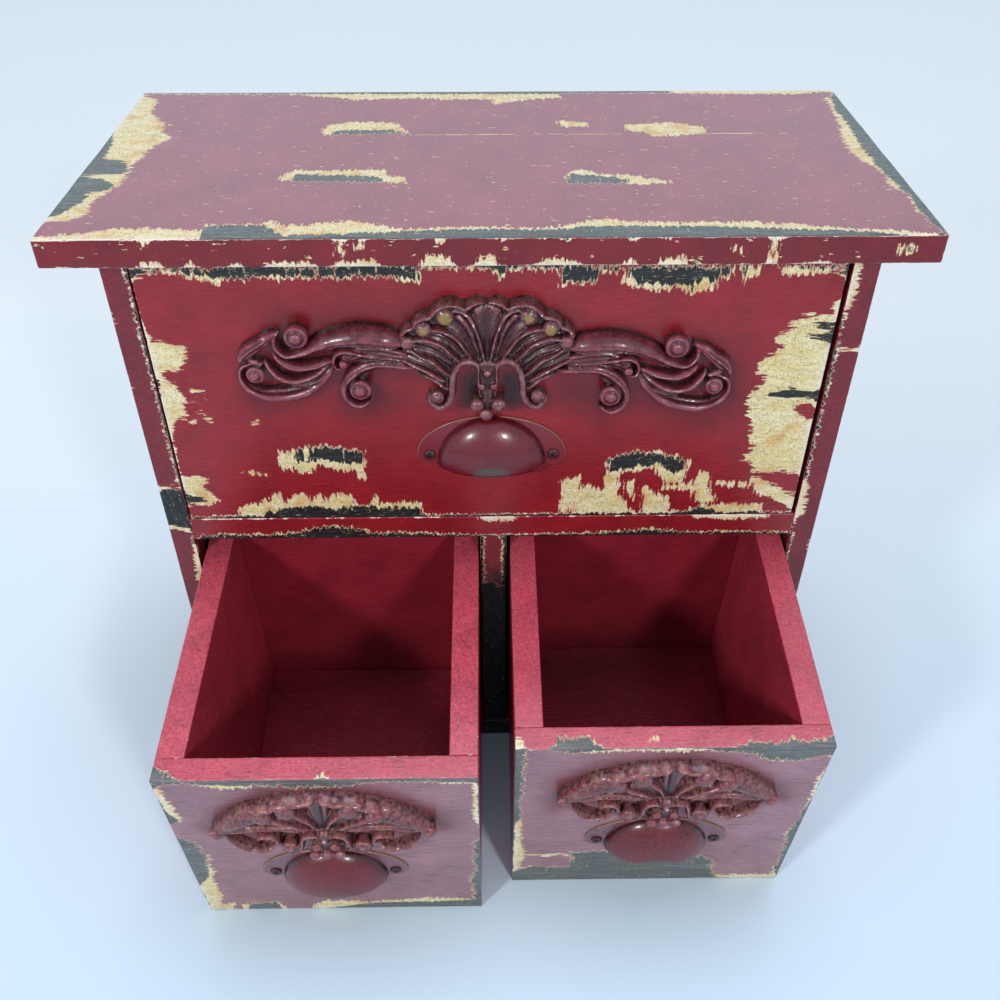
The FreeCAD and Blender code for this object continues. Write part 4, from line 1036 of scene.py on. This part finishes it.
def scroll_wing():
    """One wing, which runs to the right: a broad ribbon, a pleated fan, leaves and curled ends."""
    return [
        ribbon([(33.5, 17.0), (44.5, 20.6), (54.5, 21.5), (64.8, 19.9), (72.2, 17.0), (78.7, 13.8),
               (85.0, 12.4), (88.7, 15.1), (89.7, 19.2), (87.5, 23.4)],
               (7.0, 9.6, 10.0, 8.4, 5.4, 3.4, 2.6), (6.4, 8.4, 8.6, 7.8, 7.0, 6.4, 5.2), lean=0.25,
               flutes=((-0.52, 0.30, 0.11), (-0.86, 0.16, 0.08))),
        ribbon([(87.0, 23.0), (92.0, 20.8), (96.1, 17.8), (102.4, 13.4), (106.4, 8.2)],
               (2.4, 5.6, 6.6, 3.2), (5.0, 7.0, 7.0, 5.2), flutes=((-0.25, 0.22, 0.14),
               (0.35, 0.22, 0.14))),
        ribbon([(64.0, 8.4), (66.3, 5.9), (72.2, -0.8), (79.0, -5.1), (87.7, -7.5), (96.7, -7.5),
               (103.1, -4.3), (105.9, 0.7), (105.6, 5.2), (102.8, 7.6), (99.1, 8.0), (96.4, 6.0)],
               (2.2, 4.4, 6.6, 6.4, 4.0, 2.6, 2.0), (4.6, 6.0, 7.2, 7.0, 6.2, 5.8, 5.0), lean=0.3,
               flutes=((0.5, 0.26, 0.12),)),
        ribbon([(65.2, 9.6), (73.8, 2.9), (80.3, 0.2), (85.6, 0.0), (90.0, 1.8), (93.1, 5.5),
               (95.6, 10.0)], (2.0, 3.2, 3.6, 3.2, 2.2), (5.0, 6.6, 6.8, 6.4, 5.0)),
        ribbon([(65.0, 7.6), (72.5, 0.4), (79.6, -2.4), (86.0, -3.4)], (1.6, 2.2, 2.4, 1.2),
               (4.6, 5.8, 6.0, 3.6)),
        ribbon([(64.5, 10.2), (74.5, 7.2), (81.8, 6.6), (87.6, 9.1), (91.4, 13.0)],
               (2.0, 3.6, 3.8, 2.4), (5.2, 7.0, 7.0, 5.4), flutes=((0.3, 0.2, 0.14),)),
        ribbon([(33.0, 9.6), (40.1, 11.2), (47.7, 12.6), (56.0, 12.2), (63.0, 8.2)],
               (5.0, 7.6, 9.0, 8.0, 3.6), (4.4, 5.2, 5.6, 5.4, 4.6), power=0.4,
               flutes=((-0.55, 0.2, 0.12), (-0.12, 0.24, 0.12), (0.34, 0.22, 0.12))),
        ribbon([(34.0, 7.4), (40.1, 10.0), (47.7, 11.4), (55.3, 13.4), (60.8, 14.3), (64.4, 12.5),
               (65.6, 8.9), (64.2, 5.6), (61.2, 5.2)], (1.4, 2.0, 2.2, 2.0, 1.6),
               (4.6, 5.8, 6.6, 6.6, 5.6)),
        ribbon([(30.6, 4.8), (40.4, 6.9), (48.1, 7.6), (54.5, 5.2), (59.6, 0.4), (62.1, -4.6),
               (61.6, -9.6), (58.7, -12.8), (54.6, -13.4), (51.4, -11.6)],
               (2.4, 4.2, 5.4, 5.4, 4.4, 3.4, 2.2), (5.0, 6.2, 7.2, 7.2, 6.6, 6.2, 5.2), lean=-0.2,
               flutes=((0.45, 0.24, 0.12),)),
        ribbon([(49.0, 5.6), (53.6, 1.0), (57.0, -4.0)], (3.4, 4.0, 3.0), (3.0, 3.4, 3.0)),
        ribbon([(96.0, 7.0), (100.5, 9.8), (104.8, 11.4)], (2.4, 3.4, 2.2), (4.4, 5.4, 4.0)),
        berry((79.9, 22.0), 5.2, 8.9, groove=1.3),
        berry((55.2, -4.6), 4.8, 8.4, groove=1.2),
        berry((99.8, 3.0), 4.0, 7.2, groove=1.1),
        berry((61.4, 8.2), 1.9, 6.8),
    ]


def crest():
    """The spreading shell of a small drawer: lobes, broad shoulders, open rings, a berried lip."""
    half = [
        ribbon([(1.5, 9.0), (3.0, 16.0), (5.4, 22.6), (9.4, 27.6), (13.4, 30.4)], (1.8, 2.4, 3.0, 3.2),
               (5.0, 7.6, 8.6, 8.2)),
        ribbon([(5.0, 8.4), (9.0, 14.4), (13.6, 18.8), (19.0, 22.4), (24.2, 25.2)],
               (1.8, 2.4, 3.2, 3.4), (5.0, 7.6, 8.6, 8.0)),
        ribbon([(3.6, 8.6), (6.4, 16.0), (10.6, 22.4), (17.0, 27.0)], (1.4, 4.0, 7.0, 9.0),
               (3.2, 4.4, 6.0, 6.6), hollow=0.45, power=0.4),
        ribbon([(7.6, 7.6), (13.0, 13.6), (20.0, 18.0), (29.0, 19.6)], (1.2, 4.4, 7.0, 7.0),
               (2.8, 3.6, 4.8, 6.0), hollow=0.5, power=0.4),
        ribbon([(22.0, 27.4), (29.0, 24.0), (35.5, 19.4), (42.0, 14.2), (47.6, 9.4)],
               (9.0, 11.0, 10.0, 7.0, 5.0), (7.6, 7.8, 7.6, 7.2, 6.6), lean=0.2, power=0.55,
               flutes=((-0.55, 0.16, 0.12),)),
        ribbon([(8.6, 6.4), (14.0, 10.6), (20.0, 13.0), (26.5, 14.0), (33.0, 13.4), (39.0, 11.2),
               (45.0, 8.0)], (2.0, 3.0, 3.8, 3.6, 2.8), (4.8, 6.4, 7.2, 7.0, 5.6),
               flutes=((0.2, 0.2, 0.2),)),
        ribbon([(17.0, 9.4), (24.0, 11.0), (32.0, 10.4), (40.0, 7.6), (43.6, 5.4)],
               (1.4, 2.0, 2.2, 1.8), (4.0, 5.2, 5.6, 4.6)),
        ribbon([(43.6, 8.0), (42.6, 2.4), (40.0, -2.6), (36.0, -6.4), (31.0, -8.6), (26.0, -8.4),
               (23.0, -6.0)], (2.2, 2.6, 3.2, 3.0, 2.0), (5.0, 5.6, 6.2, 6.0, 4.6), lean=-0.3),
        ribbon([(22.8, -5.6), (21.4, -2.0), (22.0, 2.0), (24.6, 4.6), (28.2, 4.4), (29.8, 1.6),
               (28.6, -0.8)], (2.0, 2.8, 2.8, 2.0), (4.8, 6.2, 6.4, 5.0)),
        ribbon([(1.6, 1.4), (3.2, 5.0), (6.0, 6.8), (8.8, 5.6), (10.2, 1.6), (10.8, -3.4), (12.8, -7.8),
               (16.6, -9.2), (20.0, -7.4), (20.6, -4.0)], (2.0, 2.6, 3.0, 2.6, 1.8),
               (6.0, 7.4, 7.2, 6.6, 5.2)),
        ribbon([(0.4, 36.0), (4.0, 35.6), (8.0, 34.4), (13.0, 34.6), (17.6, 33.4), (20.0, 31.0),
               (24.0, 30.2), (28.0, 28.0)], (3.0, 3.6, 4.0, 4.0, 3.6), (6.8, 7.2, 7.8, 7.6, 7.2)),
        berry((13.4, 30.6), 4.4, 9.3, stretch=1.12, turn=60),
        berry((24.2, 25.6), 4.2, 8.9, stretch=1.08, turn=40),
        berry((46.4, 8.8), 3.6, 7.8, groove=1.0),
        berry((16.2, -4.4), 3.8, 7.5, groove=1.0),
        berry((4.0, -1.6), 2.2, 8.4),
        berry((5.4, -9.4), 2.6, 8.6),
    ]
    middle = [
        web([(0, 35.6), (13, 33.6), (24, 29.0), (35, 22.4), (46.0, 11.0), (40, 8.0), (20, 8.6),
            (9, 3.0), (7, -8.6)], 2.6),
        ribbon([(0, 7.0), (0, 17.0), (0, 27.0), (0, 35.4)], (1.6, 5.0, 9.0, 12.0), (4.0, 5.0, 6.2, 7.0),
               hollow=0.35, power=0.4),
        ribbon([(0, 9.0), (0, 2.0), (0, -5.0), (0, -10.0)], (5.0, 6.4, 7.4, 6.0), (6.6, 6.8, 6.6, 6.4),
               hollow=0.1, power=0.5),
        berry((0, -9.8), 2.9, 8.6),
        berry((0, 3.4), 1.6, 7.9),
    ]
    return both_sides(half) + middle


def casting_paint(name, light, dark, grey, moss, brassy=()):
    """Glossy maroon paint over metal, mottled from light to dark, and rubbed pale on ridges.

    It is lighter on the crowns of the arms, which is a painted highlight, and near black in the
    hollows, under the arms and low down near the face, which is painted shade.
    grey speckle by the share grey, and upward slopes a crust of pink and gold by the share moss.
    Brassy spots, given as x, z and radius, are rubbed down to olive metal. The mottle is 5 mm
    wide, the speckle 1.2 mm and the crust 1.7 mm.
    """
    material, node = new_material(name)
    place = node("Attribute", output="Vector", attribute_name="place")
    ridge, upward, crown = [node("Attribute", output="Fac", attribute_name=fact)
                            for fact in ("ridge", "upward", "crown")]
    out = node("SeparateXYZ", (place,), "Y")
    # Painted highlight: the crowns of the arms are lighter, over a random mottle.
    mottle_and_highlight = node("Math", (crown, 0.7, -0.3), **TIMES_PLUS)
    mottle_and_highlight = node("Math", (cloud(node, place, 0.0, 0.2, 4.0), 0.9, mottle_and_highlight), **TIMES_PLUS)
    tone = laid_over(node, colour(dark), light, mottle_and_highlight, 0.1, 0.75)
    # Painted shade: near black in hollows, under the arms and low down near the face.
    shaded = 0.0
    for fact, low, high, strength in ((ridge, -0.05, -0.32, 0.8), (out, -4.6, -1.8, 1.0),
                                      (crown, -0.1, -0.9, 0.95), (upward, -0.1, -0.9, 0.6)):
        hollow = node("MapRange", (fact, low, high, 0.0, strength), **SMOOTH)
        shaded = node("Math", (shaded, hollow), **LARGEST)
    tone = node("Mix", {0: shaded, 6: tone, 7: colour("120408")}, **COLOURS)
    rubbed, speckled, worn_through, crusted = [
        node("Math", (node("MapRange", (fact, low, high), **SMOOTH),
                      node("MapRange", (cloud(node, place, *pattern), thin, thick), **SMOOTH)), **TIMES)
        for fact, low, high, pattern, thin, thick in (
            (ridge, 0.05, 0.25, (13.0, 0.30, 4.0), 0.48, 0.62),
            (ridge, -0.10, 0.12, (29.0, 0.8, 3.0), 0.50, 0.60),
            (ridge, 0.20, 0.36, (41.0, 0.35, 3.0), 0.60, 0.66),
            (upward, -0.1, 0.55, (53.0, 0.6, 5.0), 0.30, 0.62))]
    crust_tone = laid_over(node, colour("a45a64"), "a98a72", cloud(node, place, 67.0, 0.45, 4.0),
                           0.46, 0.66)
    crust = node("Math", (crusted, moss), **TIMES)
    for share, tint in ((node("Math", (rubbed, 0.35), **TIMES), colour("b38c90")),
                        (node("Math", (speckled, grey), **TIMES), colour("6f6a60")),
                        (worn_through, colour("e6cfc4")), (crust, crust_tone)):
        tone = node("Mix", {0: share, 6: tone, 7: tint}, **COLOURS)
    flat_place = node("VectorMath", (place, (1, 0, 1)), **TIMES)
    for x, z, reach in brassy:
        away = node("VectorMath", (flat_place, (x, 0, z)), "Value", operation="DISTANCE")
        away = node("Math", (away, -1.2), **PLUS)
        away = node("Math", (cloud(node, place, 71.0, 0.9, 3.0), 2.4, away), **TIMES_PLUS)
        proud = node("MapRange", (out, -6.0, -7.5), **SMOOTH)
        tone = laid_over(node, tone, "8b7642", away, reach, reach * 0.7, proud)
    level = node("Math", (cloud(node, place, 9.0, 1.7, 2.0), 0.16), **TIMES)
    level = node("Math", (cloud(node, place, 3.0, 0.5, 3.0), 0.5, level), **TIMES_PLUS)
    level = node("Math", (crusted, moss * 0.5, level), **TIMES_PLUS)
    bump = node("Bump", {"Height": level, "Strength": 0.5, "Distance": 0.0004})
    rough = node("Math", (node("Math", (rubbed, crust), **LARGEST), 0.2, 0.30), **TIMES_PLUS)
    shader = node("BsdfPrincipled", {"Base Color": tone, "Roughness": rough, "Normal": bump,
                                     "Specular IOR Level": 0.3, "Coat Weight": 0.45,
                                     "Coat Roughness": 0.15, "Coat IOR": 1.45})
    node("OutputMaterial", (shader,))
    return material


palmette_paint = casting_paint("glossy_maroon_on_palmette", "7c3640", "46131c", 0.65, 0.15,
                               brassy=((-17.3, 31.3, 3.2), (17.3, 31.3, 2.2),
                                       (-26.5, 25.4, 2.2), (26.5, 25.4, 2.6)))
wing_paint = casting_paint("glossy_maroon_on_wings", "8c3a4a", "4c131e", 0.25, 0.08)
crest_paint = casting_paint("crusted_maroon_on_crests", "7a2630", "3c0e16", 0.3, 0.5)


def carving(name, piece, body, parts, root, face_y, tilt, material, seed):
    """A casting in place of a node, on the face of its drawer."""
    points, faces, facts = melted(parts, root, face_y, seed)
    in_place_of(piece, body, name, leaned(points, tilt), faces, material, facts)


low, high = square_box("upper_palmette")
shell_root = ((low[0] + high[0]) / 2, low[2] + PALMETTE_HANG)
carving("carved_palmette", "upper_palmette", "upper_drawer", palmette(), shell_root, high[1], 0.0,
        palmette_paint, 21)
wing = scroll_wing()
turn = math.radians(RIGHT_WING_TURN)
left_wing = [(points * (-1, 1, 1), faces) for points, faces in wing]
turned = np.array([[math.cos(turn), 0, -math.sin(turn)], [0, 1, 0],
                   [math.sin(turn), 0, math.cos(turn)]])
right_wing = [(points @ turned + (RIGHT_WING_SHIFT, 0, 0), faces) for points, faces in wing]
for side, parts, seed in (("left", left_wing, 22), ("right", right_wing, 23)):
    carving("carved_" + side + "_wing", "upper_" + side + "_scroll", "upper_drawer", parts, shell_root,
            high[1], 0.0, wing_paint, seed)
for drawer, seed in (("left_drawer", 24), ("right_drawer", 25)):
    low, high = square_box(drawer + "_crest", drawer_tilts[drawer])
    crest_root = ((low[0] + high[0]) / 2, low[2] + CREST_HANG)
    carving("carved_" + drawer + "_crest", drawer + "_crest", drawer, crest(), crest_root, high[1],
            drawer_tilts[drawer], crest_paint, seed)


# Cup pulls: pressed sheet steel, a hollow quarter dome open below, over a flange with an ear
# for each screw. They were painted with the drawers, and the paint is rubbed grey-green on the
# front of the lip. Two domed crosshead screws hold each one.

CUP_HALF_WIDTH = 25.0
CUP_DEPTH = 13.0
CUP_HEIGHT = 25.5
CUP_WALL = 1.1
CUP_ROWS = 40
CUP_COLUMNS = 81
CUP_TOP = 0.985
FLANGE_HALF_WIDTH = 34.3
FLANGE_HEIGHT = 21.0
FLANGE_THICKNESS = 1.0
FLANGE_RINGS = ((0, -0.2), (0, 0.7), (0.12, 0.9), (0.35, 1.0), (0.7, 1.0))
FLANGE_RUBBED = (0.0, 0.0, 0.0, 0.4, 1.0)
EAR_RADIUS = 5.9
SCREW_HALF_SPACING = 28.4
SCREW_ABOVE_LIP = 4.4
HEAD_RADIUS = 2.65
HEAD_RINGS = 27
HEAD_SPOKES = 96
HEAD_HEIGHT = 1.5
HEAD_DOME = 0.8
SLOT_HALF_WIDTH, SLOT_HALF_LENGTH, SLOT_DEPTH = 0.55, 1.75, 0.85
RUBBED_OVAL = (9.0, 5.0)
RUBBED_FROM = 8.0


def dome(inset):
    """Points of a quarter ball, stretched to the cup's width, depth and height less the inset.

    Across and proud shrink with the cosine of a row's angle while up grows with its sine. The
    last row stops a little short of the top.
    """
    row = np.linspace(0, CUP_TOP, CUP_ROWS)[:, None] * math.pi / 2
    column = np.linspace(0, math.pi, CUP_COLUMNS)[None, :]
    across = (CUP_HALF_WIDTH - inset) * np.cos(row) * np.cos(column)
    proud = (CUP_DEPTH - inset) * np.cos(row) * np.sin(column)
    up = (CUP_HEIGHT - inset) * np.sin(row) * np.ones_like(column)
    return np.stack([across, proud, up], -1)


def thick_sheet(outer, inner):
    """A closed sheet between two equal grids of points, its four borders joined."""
    rows, columns = outer.shape[:2]
    ids = np.arange(rows * columns * 2).reshape(2, rows, columns)
    faces = []
    for grid, order in ((ids[0], 1), (ids[1], -1)):
        skin = np.stack([grid[:-1, :-1], grid[:-1, 1:], grid[1:, 1:], grid[1:, :-1]], -1)
        faces.append(skin.reshape(-1, 4)[:, ::order])
    for border in (ids[:, 0, :], ids[:, -1, ::-1], ids[:, ::-1, 0], ids[:, :, -1]):
        faces.append(np.stack([border[0, :-1], border[1, :-1], border[1, 1:], border[0, 1:]], -1))
    points = np.concatenate([outer.reshape(-1, 3), inner.reshape(-1, 3)])
    return points, np.concatenate(faces).tolist()


def flange():
    """The plate behind the cup: a half ellipse above, half a circle under each screw, rounded edge."""
    arch = np.linspace(0, math.pi, 61)
    ear = np.linspace(math.pi, 2 * math.pi, 21)
    outline = np.concatenate([
        np.stack([FLANGE_HALF_WIDTH * np.cos(arch), FLANGE_HEIGHT * np.sin(arch)], -1),
        np.stack([-SCREW_HALF_SPACING + EAR_RADIUS * np.cos(ear), EAR_RADIUS * np.sin(ear)], -1)[1:],
        np.stack([SCREW_HALF_SPACING + EAR_RADIUS * np.cos(ear), EAR_RADIUS * np.sin(ear)], -1)[:-1],
    ])
    run = np.roll(outline, -1, axis=0) - np.roll(outline, 1, axis=0)
    inward = np.stack([-run[:, 1], run[:, 0]], -1) / np.linalg.norm(run, axis=1)[:, None]
    rings = []
    for inset, level in FLANGE_RINGS:
        ring = outline + inward * inset
        rings.append(np.stack([ring[:, 0], np.full(len(ring), level * FLANGE_THICKNESS),
                               ring[:, 1] + SCREW_ABOVE_LIP], -1))
    return np.concatenate(rings), tube_faces(len(rings), len(outline))


def screw_head(side):
    """A domed crosshead: a polar grid whose height falls from the crown to the rim with the
    square of the distance, with two crossing slots sunk into it by smooth steps."""
    reach = np.linspace(0, HEAD_RADIUS, HEAD_RINGS)[1:, None]
    around = np.linspace(0, 2 * math.pi, HEAD_SPOKES, endpoint=False)[None, :]
    x, z = reach * np.cos(around), reach * np.sin(around)
    slots = [np.clip((SLOT_HALF_WIDTH - np.abs(a)) / 0.25, 0, 1)
             * np.clip((SLOT_HALF_LENGTH - np.abs(b)) / 0.3, 0, 1) for a, b in ((x, z), (z, x))]
    fall = HEAD_DOME * (reach / HEAD_RADIUS) ** 2
    height = FLANGE_THICKNESS + HEAD_HEIGHT - fall - SLOT_DEPTH * np.maximum(*slots)
    height = np.concatenate([height, np.full((1, HEAD_SPOKES), FLANGE_THICKNESS - 0.2)])
    x = np.concatenate([x, x[-1:]]) + side * SCREW_HALF_SPACING
    z = np.concatenate([z, z[-1:]]) + SCREW_ABOVE_LIP
    centre = [[side * SCREW_HALF_SPACING, FLANGE_THICKNESS + HEAD_HEIGHT - SLOT_DEPTH,
               SCREW_ABOVE_LIP]]
    faces = tube_faces(len(x), HEAD_SPOKES)[:-2]
    last = len(x) * HEAD_SPOKES
    faces += [[last, index, (index + 1) % HEAD_SPOKES] for index in range(HEAD_SPOKES)]
    faces.append((last - HEAD_SPOKES + np.arange(HEAD_SPOKES))[::-1].tolist())
    return np.concatenate([np.stack([x, height, z], -1).reshape(-1, 3), centre]), faces


def pull_paint(name, flange_colour, speckles, rubbed_lip, grime):
    """Glossy red paint on steel, with dark specks and a rubbed grey-green oval at the lip.
    The flange has the colour of its drawer front, and painted shade darkens the cup close to
    the face, where it meets the flange. The specks are 1.6 mm apart, and the paint's own
    unevenness is 11 mm and 0.7 mm wide."""
    material, node = new_material(name)
    place = node("Attribute", output="Vector", attribute_name="place")
    edge, lip, plate = [node("Attribute", output="Fac", attribute_name=fact)
                        for fact in ("arris", "worn", "flange")]
    slow, fine, specks = [node("TexNoise", {"Vector": place, "Scale": scale, "Detail": detail})
                          for scale, detail in ((0.09, 4.0), (1.4, 3.0), (0.62, 1.0))]
    out = node("SeparateXYZ", (place,), "Y")
    tone = node("Mix", {0: slow, 6: colour("78141f"), 7: colour("4c0811")}, **COLOURS)
    tone = laid_over(node, tone, "b0606c", fine, 0.56, 0.68, 0.15)
    # Painted shade: the cup darkens close to the drawer face.
    tone = laid_over(node, tone, "22090c", out, 6.0, 1.6, grime)
    tone = node("Mix", {0: plate, 6: tone, 7: colour(flange_colour)}, **COLOURS)
    lip_gone = node("Math", (lip, node("Math", (fine, 0.8, -0.4), **TIMES_PLUS)), **PLUS)
    pale = node("Math", (edge, node("Math", (slow, 0.5), **TIMES)), **PLUS)
    for tint, where, low, high, strength in (
            ("2a1014", specks, 0.735 - speckles * 0.09, 0.76 - speckles * 0.09, 1.0),
            ("474b42", lip_gone, 0.45, 0.6, rubbed_lip), ("8f7a58", pale, 0.75, 0.55, 0.6)):
        tone = laid_over(node, tone, tint, where, low, high, strength)
    level = node("Math", (slow, 0.8, node("Math", (fine, 0.2), **TIMES)), **TIMES_PLUS)
    bump = node("Bump", {"Height": level, "Strength": 0.25, "Distance": 0.0003})
    rough = node("Math", (fine, 0.14, 0.22), **TIMES_PLUS)
    shader = node("BsdfPrincipled", {"Base Color": tone, "Roughness": rough, "IOR": 1.5,
                                     "Specular IOR Level": 0.42, "Coat Weight": 0.3,
                                     "Coat Roughness": 0.08, "Normal": bump})
    node("OutputMaterial", (shader,))
    return material


# Dark maroon paint on the steel screw heads, with painted shade that is near black in their crosses and
# darkens their rims
screw_paint, node = new_material("dark_paint_on_screws")
grime = node("TexNoise", {"Vector": node("Attribute", output="Vector", attribute_name="place"),
                          "Scale": 0.9, "Detail": 4.0})
sunk = node("MapRange", (node("Attribute", output="Fac", attribute_name="ridge"), 0.0, -0.6))
tone = node("Mix", {0: grime, 6: colour("5a1c28"), 7: colour("2c1214")}, **COLOURS)
# Painted shade: the lower points of the head turn near black.
tone = node("Mix", {0: sunk, 6: tone, 7: colour("090405")}, **COLOURS)
bump = node("Bump", {"Height": grime, "Strength": 0.4, "Distance": 0.0002})
node("OutputMaterial", (node("BsdfPrincipled", {"Base Color": tone, "Roughness": 0.38,
                                                "Normal": bump}),))

pull_looks = {"upper": ("7c1f2a", 0.2, 0.75, 0.45), "left_drawer": ("744450", 0.3, 0.3, 0.8),
              "right_drawer": ("744450", 1.0, 0.85, 0.7)}
for drawer, tilt in drawer_tilts.items():
    low, high = square_box(drawer + "_cup_pull", tilt)
    lip_place = np.array([(low[0] + high[0]) / 2, high[1], low[2] + EAR_RADIUS - SCREW_ABOVE_LIP])
    cup, plate = thick_sheet(dome(0), dome(CUP_WALL)), flange()
    cup_points, plate_points = cup[0], plate[0]
    pull = joined([cup, plate])
    screws = joined([screw_head(side) for side in (-1, 1)])
    oval = np.hypot(pull[0][:, 0] / RUBBED_OVAL[0], pull[0][:, 2] / RUBBED_OVAL[1])
    pull_facts = {
        "arris": np.concatenate([np.ones(len(cup_points)),
                                 np.repeat(FLANGE_RUBBED, len(plate_points) // len(FLANGE_RUBBED))]),
        "worn": np.clip(1.5 - oval, 0, 1) * (pull[0][:, 1] > RUBBED_FROM),
        "flange": np.repeat([0.0, 1.0], [len(cup_points), len(plate_points)]),
    }
    screw_facts = {"ridge": screws[0][:, 1] - FLANGE_THICKNESS - 1.1}
    paint = pull_paint("glossy_paint_on_" + drawer + "_pull", *pull_looks[drawer])
    for part, slot, name, (points, faces), material, facts in (
            ("_cup_pull", "painted_pull", "pressed_" + drawer + "_pull", pull, paint, pull_facts),
            ("_pull_screws", "pull_screws", "screws_of_" + drawer + "_pull", screws, screw_paint,
             screw_facts)):
        placed = leaned(lip_place + points * (1, -1, 1), tilt)
        in_place_of(drawer + part, drawer_bodies[drawer], name, placed,
                    [face[::-1] for face in faces], material, {"place": points, **facts})


# Square cut nails and brads, set into the boards, and the two round nails that the small drawers
# tip over, whose heads stand 1 mm proud, low on the case's outer sides. All are of dull steel
# with some brown rust. Rust spots of 1 mm and marks of drawing of 0.25 mm are guesses.

steel, node = new_material("rusted_nail_steel")
place = node("TexCoord", output="Object")
rust = node("TexNoise", {"Vector": place, "Scale": 900.0, "Detail": 4.0})
drawn = node("VectorMath", (place, (1.0, 1.0, 0.1)), **TIMES)
drawn = node("TexNoise", {"Vector": drawn, "Scale": 4000.0, "Detail": 2.0})
share = node("MapRange", (rust, 0.45, 0.6), **SMOOTH)
tone = node("Mix", {0: share, 6: colour("6d6b68"), 7: colour("5a3626")}, **COLOURS)
rough = node("Math", (share, 0.35, 0.4), **TIMES_PLUS)
metal = node("Math", (1.0, share), operation="SUBTRACT")
bump = node("Bump", {"Height": drawn, "Strength": 0.3, "Distance": 0.0001})
shader = node("BsdfPrincipled", {"Base Color": tone, "Roughness": rough, "Metallic": metal,
                                 "Normal": bump})
node("OutputMaterial", (shader,))
for carried in frame["nodes"].values():
    if not carried.hide_render:
        carried.data.materials.clear()
        carried.data.materials.append(steel)
